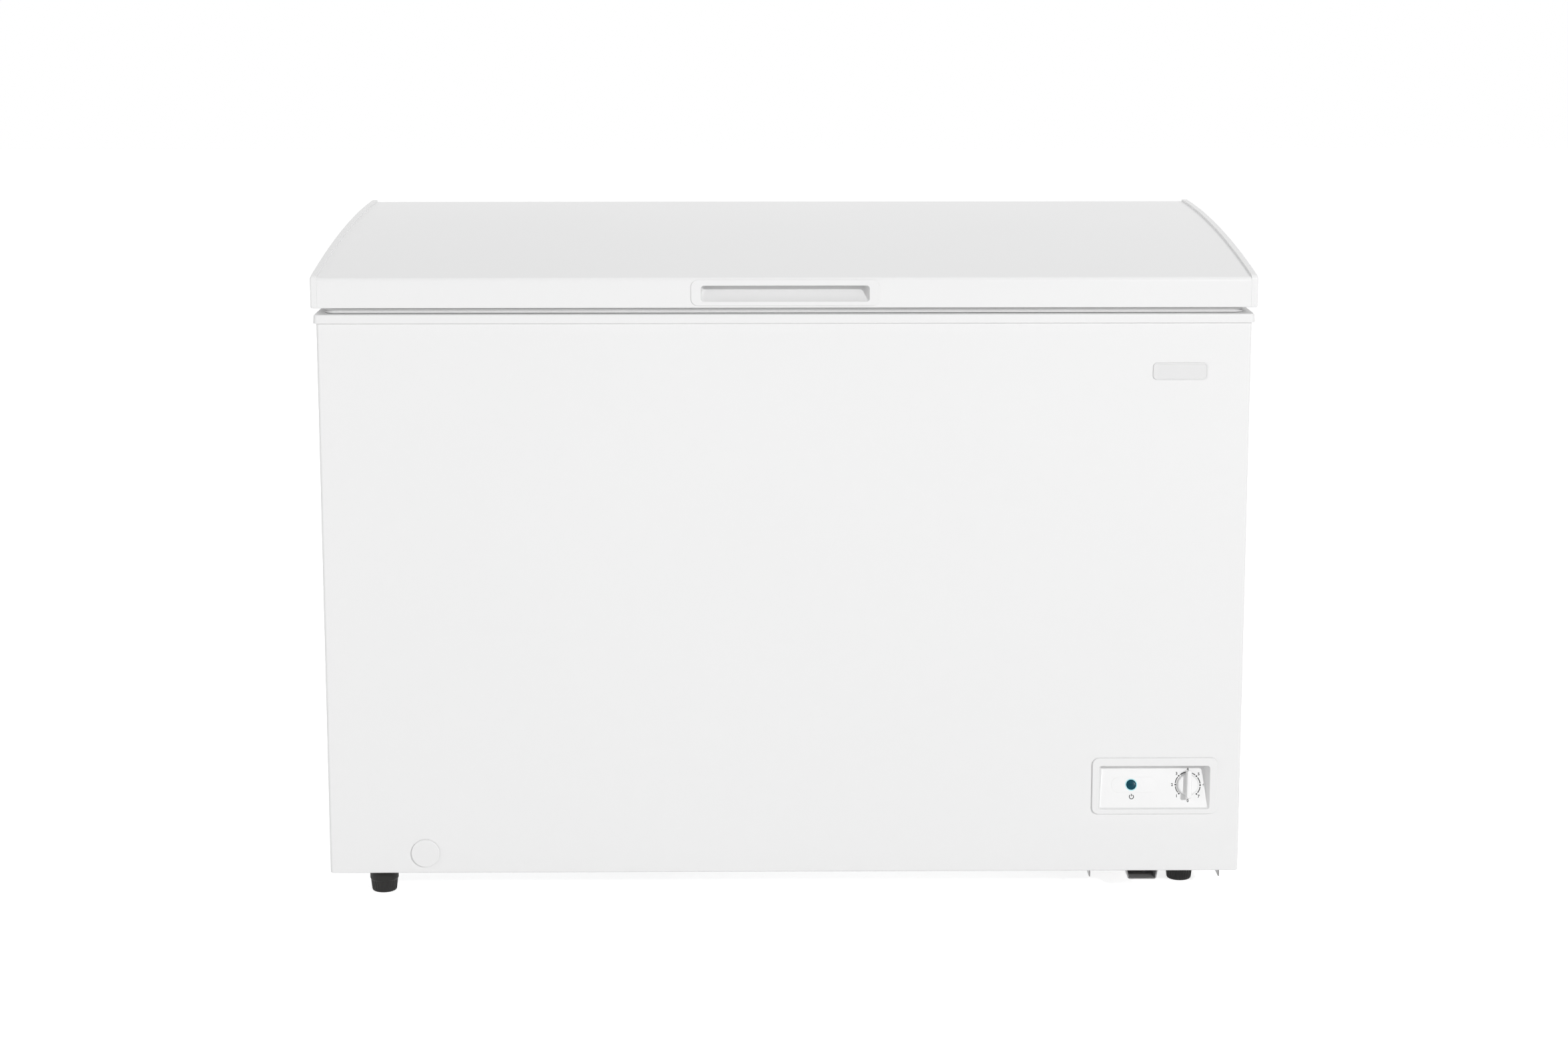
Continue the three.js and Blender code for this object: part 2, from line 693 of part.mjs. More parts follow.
// The block behind the handle's bezel, grown by a margin.
function handleBody(margin) {
  const half = scoopHalf + 2 + margin;
  return box(handleX - half, handleX + half, lidFront - 2, past + margin, scoopFloor - 2.4 - margin,
    scoopCeiling + 2.6 + margin);
}

function lidHandle() {
  const scoopBack = 18;
  const mouth = lidFront - 8;
  const rim = roundedRect(handleX - handleHalf, handleX + handleHalf, handleBottom, handleTop, 8.7);
  const bezel = alongY(rim, lidFront - 1.5, lidFront - gap, 6);
  const scoop = new THREE.Shape();
  scoop.moveTo(mouth, scoopFloor);
  scoop.lineTo(lidFront - 1, scoopFloor);
  scoop.quadraticCurveTo(scoopBack - 11.6, scoopFloor + 6.8, scoopBack, scoopCeiling);
  scoop.lineTo(mouth, scoopCeiling);
  const block = handleBody(0).subtract(box(-far, far, -far, lidFront - 1.2, 0, far));
  return bezel.add(block).subtract(alongX(scoop, handleX - scoopHalf, handleX + scoopHalf, 6));
}

// ---- Hinges ----

function atHinge(body, side) {
  return body.translate([side * hingeX, 0, 0]);
}

const bracketHalf = 24;

// Hat-section channel screwed to the cabinet's back, with cheeks that carry the pin.
function hingeBracket() {
  const back = cabinetDepth + gap;
  const wall = 1.7;
  const rear = 612;
  const half = bracketHalf;
  const reach = 40;
  const low = 600;
  const section = outline([[-reach, back], [-half + wall, back], [-half + wall, rear - wall],
    [half - wall, rear - wall], [half - wall, back], [reach, back], [reach, back + wall],
    [half, back + wall], [half, rear], [-half, rear], [-half, back + wall], [-reach, back + wall]]);
  const channel = alongZ(section, low, pinZ)
    .subtract(box(-far, far, 0, collarBack + 2, collarBottom - gap, far))
    .subtract(box(-far, far, rear - wall - 1, far, pinZ - 11, far));
  const cheekTop = alongX(circle(pinY, pinZ, 7), -half, half, 8)
    .subtract(box(-half + wall, half - wall, 0, far, 0, far));
  const seat = box(-half + wall / 2, half - wall / 2, 593, rear - wall / 2, low, low + wall);
  const pinHole = alongX(circle(pinY, pinZ, pinRadius + gap), -far, far, 8);
  return channel.add(cheekTop).add(seat).subtract(pinHole);
}

function hingePin() {
  const head = 5;
  const end = bracketHalf + 2.5;
  const seat = bracketHalf + gap;
  const profile = [[0, -end], [head, -end], [head, -seat], [pinRadius, -seat], [pinRadius, seat],
    [head, seat], [head, end], [0, end]];
  return solid(turned(profile, 16).rotateY(Math.PI / 2).translate(0, pinY, pinZ));
}

// Plate on the lid's rear face, and a barrel whose cam's radius falls evenly as the lid opens.
function hingeArm() {
  const half = 20;
  const plate = box(-half, half, lidBack + gap, lidBack + gap + 2, pinZ + 2, 800);
  const barrel = 6.4;
  const points = [];
  const steps = 10;
  for (let i = 0; i <= steps; i += 1) {
    const angle = -0.05 + (1.6 * i) / steps;
    const radius = camClosed - camRate * angle;
    points.push([pinY + radius * Math.sin(angle), pinZ - radius * Math.cos(angle)]);
  }
  for (let i = 1; i <= steps; i += 1) {
    const angle = Math.PI / 2 + (Math.PI * 1.35 * i) / steps;
    points.push([pinY + barrel * Math.sin(angle), pinZ - barrel * Math.cos(angle)]);
  }
  const cam = alongX(outline(points), -half, half);
  const web = box(-half, half, lidBack + gap + 1, pinY, pinZ + 2, pinZ + 6);
  const bore = alongX(circle(pinY, pinZ, pinRadius + gap), -far, far, 8);
  return plate.add(cam).add(web).subtract(bore);
}

const followerNose = pinZ - camClosed - 1;

function springFollower() {
  const block = box(-19, 19, 594.6, 609, followerNose - 12, followerNose - 4);
  const nose = box(-19, 19, pinY - 1.5, pinY + 1.5, followerNose - 6, followerNose);
  return block.add(nose);
}

function hingeSpring() {
  const low = 603.5;
  const high = followerNose - 12 - 2;
  const turns = 8;
  class Helix extends THREE.Curve {
    getPoint(t) {
      const angle = t * turns * Math.PI * 2;
      return new THREE.Vector3(6 * Math.cos(angle), 601.5 + 6 * Math.sin(angle), low + (high - low) * t);
    }
  }
  return tube(new Helix(), 1.3, 4, turns * 8);
}

// ---- Basket ----

const wire = 4;
const rimZ = ledgeTop + gap;

// Welded square wire: cross wires outside, end wires and hoops just inside them, so each pair bites.
function basketFrame() {
  const bite = 2.6;
  const hoop = (inset, z) => box(basketLeft + inset, basketRight - inset, basketFront + inset,
    basketBack - inset, z, z + wire)
    .subtract(box(basketLeft + inset + wire, basketRight - inset - wire, basketFront + inset + wire,
      basketBack - inset - wire, 0, far));
  const bow = (z0) => [basketLeft, basketRight].map((x, i) => (
    box(x - i * wire, x + (1 - i) * wire, -wire / 2, wire / 2, z0, rimZ + bite)));
  const parts = [hoop(1.3, rimZ + 1.4), hoop(bite, basketBottom + 100)];
  const crossWires = 8;
  for (let i = 0; i < crossWires; i += 1) {
    const y = basketFront + 16 + ((basketBack - basketFront - 32) * i) / (crossWires - 1);
    const across = box(basketLeft, basketRight, -wire / 2, wire / 2, basketBottom, basketBottom + wire);
    parts.push(...[across, ...bow(basketBottom)].map((bar) => bar.translate([0, y, 0])));
  }
  const endWires = 3;
  for (let i = 0; i < endWires; i += 1) {
    const x = basketLeft + 18 + ((basketRight - basketLeft - 36) * i) / (endWires - 1);
    const z = basketBottom + bite;
    parts.push(box(x - wire / 2, x + wire / 2, basketFront, basketBack, z, z + wire));
    parts.push(box(x - wire / 2, x + wire / 2, basketFront, basketFront + wire, z, rimZ + bite));
    parts.push(box(x - wire / 2, x + wire / 2, basketBack - wire, basketBack, z, rimZ + bite));
  }
  for (const x of [basketLeft + 7, basketRight - 7]) {
    parts.push(box(x - wire / 2, x + wire / 2, tankFront + 5, tankBack - 5, rimZ, rimZ + wire));
  }
  return wasm.Manifold.union(parts);
}

const gripDepth = 6;

// Plastic grip clipped to the outer side of an end wire.
function basketGrip(y) {
  const x = (basketLeft + basketRight) / 2;
  return alongY(roundedRect(x - 40, x + 40, rimZ - 18, rimZ + wire, 3), y, y + gripDepth);
}

// ---- Putting it together ----

piece('outer_wrap', outerWrap(), 'whiteSteel');
piece('back_panel', backPanel(), 'zincSteel');
piece('bottom_panel', bottomPanel(), 'zincSteel');
piece('cabinet_foam', cabinetFoam(), 'foam');
piece('inner_liner', innerLiner(), 'aluminium');
piece('top_collar', topCollar(), 'whitePlastic');
piece('evaporator_coil', tube(evaporatorRoute, evaporatorRadius, 6, evaporatorRoute.steps), 'aluminium');
piece('condenser_coil', tube(condenserRoute, condenserRadius, 6, condenserRoute.steps), 'blackSteel');
piece('badge_plate', badgePlate(), 'aluminium');

piece('drain_duct', drainDuct(), 'whitePlastic');
piece('drain_cap', drainCap(), 'whitePlastic');
piece('drain_plug', drainPlug(), 'rubber');

for (const place of [...leftFeet, ...rightFeet]) {
  piece(`foot_${place[0]}`, foot(place), 'blackPlastic');
  piece(`foot_stud_${place[0]}`, footStud(place), 'zincSteel');
}

piece('compressor_base_plate', compressorBasePlate(), 'zincSteel');
for (const place of grommetPlaces) {
  piece(`grommet_${place[0]}`, grommet(place), 'rubber');
}
piece('compressor', compressor(), 'blackSteel');
piece('compressor_terminal_cover', terminalCover(), 'blackPlastic');
piece('filter_drier', filterDrier(), 'copper');
piece('suction_pipe', copperPipe(suctionPoints, 4), 'copper');
piece('discharge_pipe', copperPipe(dischargePoints, 2.5), 'copper');
piece('side_vent_grille', sideVentGrille(), 'whitePlastic');
piece('rear_cover', rearCover(), 'zincSteel');
piece('inlet_gland', inletGland(), 'rubber');

piece('control_bezel', controlBezel(), 'whitePlastic');
piece('thermostat_body', thermostatBody(), 'zincSteel');
piece('thermostat_shaft', thermostatShaft(), 'steel');
piece('thermostat_knob', thermostatKnob(), 'whitePlastic');
piece('indicator_lens', indicatorLens(), 'lens');
piece('indicator_lamp', indicatorLamp(), 'blackPlastic');

piece('lid_skin', lidSkin(), 'whiteSteel');
piece('lid_end_cap_left', lidEndCap(-1), 'whitePlastic');
piece('lid_end_cap_right', lidEndCap(1), 'whitePlastic');
piece('lid_foam', lidFoam(), 'foam');
piece('lid_liner', lidLiner(), 'whitePlastic');
piece('lid_gasket', lidGasket(), 'gasket');
piece('lid_handle', lidHandle(), 'whitePlastic');

for (const [label, side] of [['left', -1], ['right', 1]]) {
  piece(`hinge_bracket_${label}`, atHinge(hingeBracket(), side), 'zincSteel');
  piece(`hinge_arm_${label}`, atHinge(hingeArm(), side), 'zincSteel');
  piece(`hinge_pin_${label}`, atHinge(hingePin(), side), 'steel');
  piece(`hinge_spring_${label}`, atHinge(hingeSpring(), side), 'steel');
  piece(`spring_follower_${label}`, atHinge(springFollower(), side), 'blackPlastic');
}

piece('wire_basket', basketFrame(), 'whiteWire');
piece('basket_grip_front', basketGrip(basketFront - gripDepth - gap), 'whitePlastic');
piece('basket_grip_back', basketGrip(basketBack + gap), 'whitePlastic');

// The origin is under the middle of the whole object, on the floor.
const extent = new THREE.Box3().setFromObject(freezer);
freezer.position.y = -(extent.min.y + extent.max.y) / 2;

export default freezer;
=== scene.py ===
"""Chest freezer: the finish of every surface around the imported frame. Metres, +Z up."""
import json
import math

import bmesh
import bpy
import numpy as np
from mathutils import Euler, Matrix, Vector


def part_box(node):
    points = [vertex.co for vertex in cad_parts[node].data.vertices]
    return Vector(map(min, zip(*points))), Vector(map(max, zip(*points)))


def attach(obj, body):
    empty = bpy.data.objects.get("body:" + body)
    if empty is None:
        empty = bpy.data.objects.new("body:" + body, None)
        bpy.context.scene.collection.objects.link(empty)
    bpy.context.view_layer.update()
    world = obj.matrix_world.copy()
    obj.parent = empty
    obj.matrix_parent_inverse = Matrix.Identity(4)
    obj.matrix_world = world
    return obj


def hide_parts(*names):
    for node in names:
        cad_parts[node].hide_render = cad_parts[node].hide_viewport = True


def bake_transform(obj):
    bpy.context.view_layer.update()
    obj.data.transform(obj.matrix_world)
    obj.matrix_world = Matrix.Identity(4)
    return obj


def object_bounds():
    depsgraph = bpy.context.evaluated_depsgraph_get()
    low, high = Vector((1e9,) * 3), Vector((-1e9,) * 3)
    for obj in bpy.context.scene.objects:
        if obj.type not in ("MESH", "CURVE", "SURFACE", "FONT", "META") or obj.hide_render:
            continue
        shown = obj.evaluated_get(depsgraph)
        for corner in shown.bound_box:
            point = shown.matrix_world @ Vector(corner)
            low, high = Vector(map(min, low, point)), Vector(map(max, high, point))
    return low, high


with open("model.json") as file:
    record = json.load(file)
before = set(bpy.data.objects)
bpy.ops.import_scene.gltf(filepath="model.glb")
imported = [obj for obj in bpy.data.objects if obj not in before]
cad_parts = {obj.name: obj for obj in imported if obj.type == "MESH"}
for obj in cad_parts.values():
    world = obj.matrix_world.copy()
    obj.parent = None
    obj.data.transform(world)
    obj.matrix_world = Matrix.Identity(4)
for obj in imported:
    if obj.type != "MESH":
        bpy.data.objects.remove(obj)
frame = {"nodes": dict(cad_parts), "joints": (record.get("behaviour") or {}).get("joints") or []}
cad_low, cad_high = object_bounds()
scene = bpy.context.scene
scene.view_settings.view_transform = "Standard"

# ------------------
# Camera. It stands a little left of the freezer's middle, looks slightly down
# on the lid, and is raised a little on its lens so that the sides stay upright.
wrap_low, wrap_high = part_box("outer_wrap")
camera_distance = 3.5078        # from the cabinet's front face
camera_height = 1.193
camera_side = -0.0377
camera_pitch = math.radians(9.53)
camera_yaw = math.radians(0.6)
camera_data = bpy.data.cameras.new("studio_camera")
camera_data.lens = 67.98
camera_data.sensor_width = 36.0
camera_data.shift_y = -0.066
camera = bpy.data.objects.new("studio_camera", camera_data)
scene.collection.objects.link(camera)
camera.location = (camera_side, wrap_low.y - camera_distance, camera_height)
camera.rotation_euler = Euler((math.pi / 2 - camera_pitch, 0.0, -camera_yaw))
scene.camera = camera

# ------------------
# Studio. A white sweep on the floor, a soft white room, one small strong key lamp
# far off at the front right, and wide softboxes at the left, overhead and behind.
floor_half = 12.0
floor_glow = 0.68
room_light = 0.44


def node(tree, kind, sockets, **settings):
    """A new shader node with its settings, and each of its sockets linked to another or given a value."""
    made = tree.nodes.new("ShaderNode" + kind)
    for setting, value in settings.items():
        setattr(made, setting, value)
    for socket, value in sockets.items():
        if isinstance(value, bpy.types.NodeSocket):
            tree.links.new(value, made.inputs[socket])
        else:
            made.inputs[socket].default_value = value
    return made


def maths(tree, operation, *values):
    """The result of a maths node; each value is a socket or a number."""
    return node(tree, "Math", dict(enumerate(values)), operation=operation).outputs[0]


def studio_white(tree, lit_shader, white_shader):
    """The lit shader for the object, and the white one where the camera, a gloss or a glass looks."""
    path = node(tree, "LightPath", {}).outputs
    straight = maths(tree, "MAXIMUM", path["Is Camera Ray"], path["Is Glossy Ray"])
    either = maths(tree, "MAXIMUM", straight, path["Is Transmission Ray"])
    return node(tree, "MixShader", {0: either, 1: lit_shader, 2: white_shader}).outputs[0]


world = bpy.data.worlds.new("studio_room")
scene.world = world
world.use_nodes = True
room = world.node_tree
room.nodes.clear()
white_light = (1.0, 1.0, 1.0, 1.0)
lit_room = node(room, "Background", {"Color": white_light, "Strength": room_light}).outputs[0]
white_room = node(room, "Background", {"Color": white_light, "Strength": 1.0}).outputs[0]
node(room, "OutputWorld", {"Surface": studio_white(room, lit_room, white_room)})

floor_mesh = bpy.data.meshes.new("studio_floor")
floor_corners = np.array([(-1, -1, 0), (1, -1, 0), (1, 1, 0), (-1, 1, 0)]) * floor_half
floor_mesh.from_pydata(floor_corners.tolist(), [], [(0, 1, 2, 3)])
floor = bpy.data.objects.new("studio_floor", floor_mesh)
scene.collection.objects.link(floor)
floor_paper = bpy.data.materials.new("floor_paper")
floor_paper.use_nodes = True
paper = floor_paper.node_tree
paper.nodes.clear()
paper_lit = node(paper, "BsdfDiffuse", {"Color": (0.86, 0.86, 0.86, 1.0)}).outputs[0]
paper_glow = node(paper, "Emission", {"Strength": floor_glow}).outputs[0]
paper_seen = node(paper, "AddShader", {0: paper_lit, 1: paper_glow}).outputs[0]
node(paper, "OutputMaterial", {"Surface": studio_white(paper, paper_lit, paper_seen)})
floor_mesh.materials.append(floor_paper)


def softbox(name, place, size, power):
    """A rectangular lamp at a place, turned to face the freezer's middle."""
    lamp = bpy.data.lights.new(name, "AREA")
    lamp.shape = "RECTANGLE"
    lamp.size, lamp.size_y = size
    lamp.energy = power
    holder = bpy.data.objects.new(name, lamp)
    middle = (cad_low + cad_high) / 2
    holder.location = place
    holder.rotation_euler = (middle - Vector(place)).to_track_quat("-Z", "Y").to_euler()
    holder.visible_camera = False
    scene.collection.objects.link(holder)


softbox("key_softbox", (4.1, -8.5, 3.8), (0.4, 0.4), 424.0)
softbox("fill_softbox", (-3.2, -2.8, 1.4), (2.4, 2.2), 18.5)
softbox("top_softbox", (0.3, 0.6, 3.4), (2.6, 2.0), 16.0)
softbox("rear_left_softbox", (-3.0, 3.0, 1.8), (1.8, 1.8), 24.0)
softbox("rear_right_softbox", (3.0, 3.0, 1.8), (1.8, 1.8), 22.0)

# ------------------
# Outer wrap. One sheet of prepainted steel, bent round both front corners and
# folded in under the cabinet. The control, drain and vent holes are punched.
wrap_sheet = 0.001
wrap_corner = 0.004
wrap_fold = 0.0018
wrap_flange = 0.015
control_hole = (0.381, 0.526, 0.115, 0.179)      # left, right, bottom, top
vent_hole = (wrap_low.y + 0.33, wrap_low.y + 0.51, 0.075, 0.185)
drain_low, drain_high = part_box("drain_cap")
drain_centre = ((drain_low.x + drain_high.x) / 2, (drain_low.z + drain_high.z) / 2)
drain_hole = 0.013
drain_ease = 0.02


def patch(points, closed=True, ring=False, keep=None):
    """A grid of points and the four-cornered faces between them. Closed joins the last column to the first,
    and ring joins the last row to the first. Keep is a mask of the faces that stay."""
    rows, columns = points.shape[:2]
    place = np.arange(rows * columns).reshape(rows, columns)
    if ring:
        place = np.vstack([place, place[:1]])
    if closed:
        place = np.hstack([place, place[:, :1]])
    faces = np.stack([place[:-1, :-1], place[:-1, 1:], place[1:, 1:], place[1:, :-1]], axis=-1)
    faces = faces.reshape(-1, 4) if keep is None else faces[keep]
    return points.reshape(-1, 3), faces


def grid(x, y, z):
    """A grid of points from its three coordinates, each stretched to the whole grid."""
    return np.stack(np.broadcast_arrays(x, y, z), axis=-1)


def piece(name, shapes, material, body, replaces=(), wall=0.0, crease=35.0, fold=0.0):
    """One piece from a shape or a list of shapes, each a patch or a grid of points that is closed round its
    columns. They are welded where they meet, and smooth except where they turn more than the crease.
    A closed shape has no wall, and flat faces close its open ends. An open sheet gets a wall behind the
    face that it shows, and its sharp turns can be rounded to a fold."""
    shapes = shapes if isinstance(shapes, list) else [shapes]
    patches = [shape if isinstance(shape, tuple) else patch(shape) for shape in shapes]
    point_sets, face_sets = zip(*patches)
    starts = np.cumsum([0] + [len(points) for points in point_sets])
    faces = np.vstack([faces + start for faces, start in zip(face_sets, starts)])
    mesh = bpy.data.meshes.new(name)
    mesh.from_pydata(np.vstack(point_sets).tolist(), [], faces.tolist())
    weld = bmesh.new()
    weld.from_mesh(mesh)
    bmesh.ops.remove_doubles(weld, verts=weld.verts, dist=2e-6)
    bmesh.ops.dissolve_degenerate(weld, edges=weld.edges, dist=1e-7)
    if not wall:
        bmesh.ops.holes_fill(weld, edges=weld.edges, sides=0)
        bmesh.ops.recalc_face_normals(weld, faces=weld.faces)
    weld.to_mesh(mesh)
    weld.free()
    mesh.shade_smooth()
    if not fold:
        mesh.set_sharp_from_angle(angle=math.radians(crease))
    mesh.materials.append(material)
    part = bpy.data.objects.new(name, mesh)
    scene.collection.objects.link(part)
    if body:
        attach(part, body)
    if replaces:
        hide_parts(*replaces)
    if fold:
        rounded_folds = part.modifiers.new("rounded_folds", "BEVEL")
        rounded_folds.width = fold
        rounded_folds.segments = 3
        rounded_folds.limit_method = "ANGLE"
        rounded_folds.angle_limit = math.radians(crease)
    if wall:
        thickness = part.modifiers.new("wall", "SOLIDIFY")
        thickness.thickness = wall
        thickness.offset = -1.0
        thickness.use_even_offset = not fold
    flat_faces = part.modifiers.new("flat_faces", "WEIGHTED_NORMAL")
    flat_faces.keep_sharp = True
    return part


def effect(name, sockets):
    """A new node group with named input sockets. It puts out a colour, a roughness and a height."""
    tree = bpy.data.node_groups.new(name, "ShaderNodeTree")
    for socket, kind, value in sockets:
        made = tree.interface.new_socket(socket, in_out="INPUT", socket_type="NodeSocket" + kind)
        if value is not None:
            made.default_value = value
    for socket, kind in (("Colour", "Color"), ("Roughness", "Float"), ("Height", "Float")):
        tree.interface.new_socket(socket, in_out="OUTPUT", socket_type="NodeSocket" + kind)
    return tree, tree.nodes.new("NodeGroupInput").outputs


def put_out(tree, **results):
    """Links what a node group puts out."""
    end = tree.nodes.new("NodeGroupOutput")
    for socket, value in results.items():
        tree.links.new(value, end.inputs[socket])


def noise_in(tree, place, scale, detail=2.0):
    """A noise pattern in a node group, whose scale is a number or a socket."""
    return node(tree, "TexNoise", {"Vector": place, "Scale": scale, "Detail": detail}).outputs["Fac"]


def mixed(tree, first, second, amount):
    """Two colours mixed by an amount; each is a socket or a value."""
    return node(tree, "Mix", {0: amount, 6: first, 7: second}, data_type="RGBA").outputs[2]


COLOUR = (0.8, 0.8, 0.8, 1.0)
even_sockets = [
    ("Place", "Vector", None),
    ("Colour", "Color", COLOUR),
    ("Clouded Colour", "Color", COLOUR),
    ("Roughness", "Float", 0.4),
    ("Roughness Spread", "Float", 0.06),
    ("Grain Scale", "Float", 400.0),
    ("Cloud Scale", "Float", 5.0),
    ("Dust", "Float", 0.0),
    ("Dust Colour", "Color", (0.42, 0.39, 0.35, 1.0)),
]
# Paint and moulded plastic: slow clouding of the colour, fine grain, and dust lying on what faces up.
even_coat, given = effect("even_coat", even_sockets)
clouds = noise_in(even_coat, given["Place"], given["Cloud Scale"])
grain = noise_in(even_coat, given["Place"], given["Grain Scale"], 1.0)
clouded = mixed(even_coat, given["Colour"], given["Clouded Colour"], clouds)
facing = node(even_coat, "NewGeometry", {}).outputs["Normal"]
upward = node(even_coat, "SeparateXYZ", {0: facing}).outputs["Z"]
specks = noise_in(even_coat, given["Place"], 90.0, 4.0)
lying = maths(even_coat, "MULTIPLY", maths(even_coat, "MAXIMUM", upward, 0.12), specks)
dusty = maths(even_coat, "MULTIPLY", lying, given["Dust"])
uneven = maths(even_coat, "SUBTRACT", clouds, 0.5)
spread = maths(even_coat, "MULTIPLY_ADD", uneven, given["Roughness Spread"], given["Roughness"])
put_out(even_coat, Colour=mixed(even_coat, clouded, given["Dust Colour"], dusty),
        Roughness=maths(even_coat, "ADD", spread, maths(even_coat, "MULTIPLY", dusty, 0.4)), Height=grain)


def finish(name, group, relief, **settings):
    """A material: an effect group gives its colour, roughness and height. Each setting goes to the group's
    socket of that name or, where the group has none, to the shader's."""
    material = bpy.data.materials.new(name)
    material.use_nodes = True
    tree = material.node_tree
    shader = tree.nodes["Principled BSDF"]
    place = node(tree, "TexCoord", {}).outputs["Object"]
    worked = node(tree, "Group", {}, node_tree=group)
    tree.links.new(place, worked.inputs["Place"])
    for setting, value in settings.items():
        socket = setting.replace("_", " ")
        taker = worked if socket in worked.inputs else shader
        taker.inputs[socket].default_value = value
    bump = node(tree, "Bump", {"Distance": relief, "Height": worked.outputs["Height"]})
    tree.links.new(worked.outputs["Colour"], shader.inputs["Base Color"])
    tree.links.new(worked.outputs["Roughness"], shader.inputs["Roughness"])
    tree.links.new(bump.outputs["Normal"], shader.inputs["Normal"])
    return material


def grey(level, warmth=0.0):
    """A near-neutral colour; warmth tips it towards red or, below zero, towards blue."""
    return (level * (1 + warmth), level, level * (1 - warmth), 1.0)


white_paint = finish("white_paint", even_coat, 0.00003, Colour=grey(0.86), Clouded_Colour=grey(0.84),
                     Roughness=0.3, Grain_Scale=420.0, Cloud_Scale=2.2)


def wrap_plan(insets, fronts, sides):
    """The wrap from above, one row for each inset: left side, corner arc, front, corner arc, right side."""
    inset = np.asarray(insets, float)[:, None]
    bend = np.maximum(wrap_corner - inset, 0.0)
    turn = np.linspace(0.0, np.pi / 2, 9)
    level = np.ones_like(inset)
    left = wrap_low.x + inset
    right = wrap_high.x - inset
    front = wrap_low.y + inset
    along = np.hstack([left * np.ones(len(sides)), left + bend * (1 - np.cos(turn)), level * fronts,
                       right - bend * (1 - np.sin(turn)), right * np.ones(len(sides))])
    depth = np.hstack([level * sides[::-1], front + bend * (1 - np.sin(turn)), front * np.ones(len(fronts)),
                       front + bend * (1 - np.cos(turn)), level * sides])
    return along, depth


def eased_circle(along, height, centre, radius, reach):
    """Square rings of a grid about a centre become circles at the radius, and stay square at the reach."""
    across = along - centre[0]
    above = height - centre[1]
    ring = np.maximum(np.abs(across), np.abs(above))
    share = np.clip((reach - ring) / (reach - radius), 0.0, 1.0)
    factor = 1 + share * (ring / np.maximum(np.hypot(across, above), 1e-9) - 1)
    return centre[0] + across * factor, centre[1] + above * factor, ring


drain_steps = np.linspace(-drain_ease, drain_ease, 21)
wrap_fronts = np.r_[wrap_low.x + wrap_flange, drain_centre[0] + drain_steps, -0.2, 0.05, 0.25,
                    control_hole[:2], wrap_high.x - wrap_flange]
wrap_sides = np.array([wrap_low.y + wrap_flange, vent_hole[0], vent_hole[1], wrap_high.y])
fold_turn = np.linspace(0.0, np.pi / 2, 5)
fold_insets = np.r_[wrap_flange, wrap_fold * (1 - np.sin(fold_turn))]
fold_heights = wrap_low.z + np.r_[0.0, wrap_fold * (1 - np.cos(fold_turn))]
wall_heights = np.sort(np.r_[drain_centre[1] + drain_steps, control_hole[2:], vent_hole[2:], 0.36, 0.55,
                             wrap_high.z])
wrap_insets = np.r_[fold_insets, np.zeros(len(wall_heights))]
wrap_heights = np.r_[fold_heights, wall_heights]
wrap_along, wrap_depth = wrap_plan(wrap_insets, wrap_fronts, wrap_sides)
wrap_along, wrap_up, drain_ring = eased_circle(wrap_along, wrap_heights[:, None], drain_centre, drain_hole,
                                               drain_ease)
wrap_points = grid(wrap_along, wrap_depth, wrap_up)
cell = (wrap_points[:-1, :-1] + wrap_points[1:, 1:]) / 2
ring_cell = np.maximum(drain_ring[:-1, :-1], drain_ring[1:, 1:])
on_front = cell[..., 1] < wrap_low.y + wrap_corner / 2
on_right = cell[..., 0] > wrap_high.x - wrap_sheet


def within(first, second, hole):
    """Whether places given by two coordinates lie inside a hole's four sides."""
    return (first > hole[0]) & (first < hole[1]) & (second > hole[2]) & (second < hole[3])


punched = on_front & (within(cell[..., 0], cell[..., 2], control_hole) | (ring_cell < drain_hole + 1e-5))
punched |= on_right & within(cell[..., 1], cell[..., 2], vent_hole)
piece("cabinet_wrap", patch(wrap_points, closed=False, keep=~punched), white_paint, "cabinet",
      ["outer_wrap"], wall=wrap_sheet)

# ------------------
# Top collar. A white moulded frame that caps the wrap's top edge and the tank's
# rim, with a lip into the tank and a ledge at its front and back for the basket.
collar_low, collar_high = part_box("top_collar")
collar_skirt = 0.0108
collar_wall = 0.003
collar_flare = 0.0005
lip_wall = 0.0027
ledge_thickness = 0.0025
touch_gap = 0.0003              # parts that touch are kept this far apart


def outlines(left, right, near, far, radius, arc_steps=6):
    """Closed rectangle outlines, a row for each set of values: four corner arcs of the radius, joined
    straight."""
    sides = [np.atleast_1d(np.asarray(side, float)) for side in (left, right, near, far, radius)]
    left, right, near, far, radius = [side[:, None] for side in np.broadcast_arrays(*sides)]
    quarter = np.linspace(0.0, np.pi / 2, arc_steps + 1)
    turn = (quarter + np.arange(4)[:, None] * np.pi / 2).ravel()
    east = np.repeat([True, False, False, True], arc_steps + 1)
    north = np.repeat([True, True, False, False], arc_steps + 1)
    across = np.where(east, right - radius, left + radius) + radius * np.cos(turn)
    along = np.where(north, far - radius, near + radius) + radius * np.sin(turn)
    return across, along


def stacked(rectangle, insets, heights, arc_steps=6):
    """A rectangle's outline at each height, drawn in by the inset there, with its corner radius."""
    left, right, near, far, radius = rectangle
    inset = np.asarray(insets, float)
    across, along = outlines(left + inset, right - inset, near + inset, far - inset,
                             np.maximum(radius - inset, 0.0002), arc_steps)
    return grid(across, along, np.asarray(heights, float)[:, None])


def rounding(radius, steps=4):
    """Insets and drops of a rounded edge, from its side face to its top face."""
    turn = np.linspace(0.0, np.pi / 2, steps + 1)
    return radius * (1 - np.cos(turn)), radius * (1 - np.sin(turn))


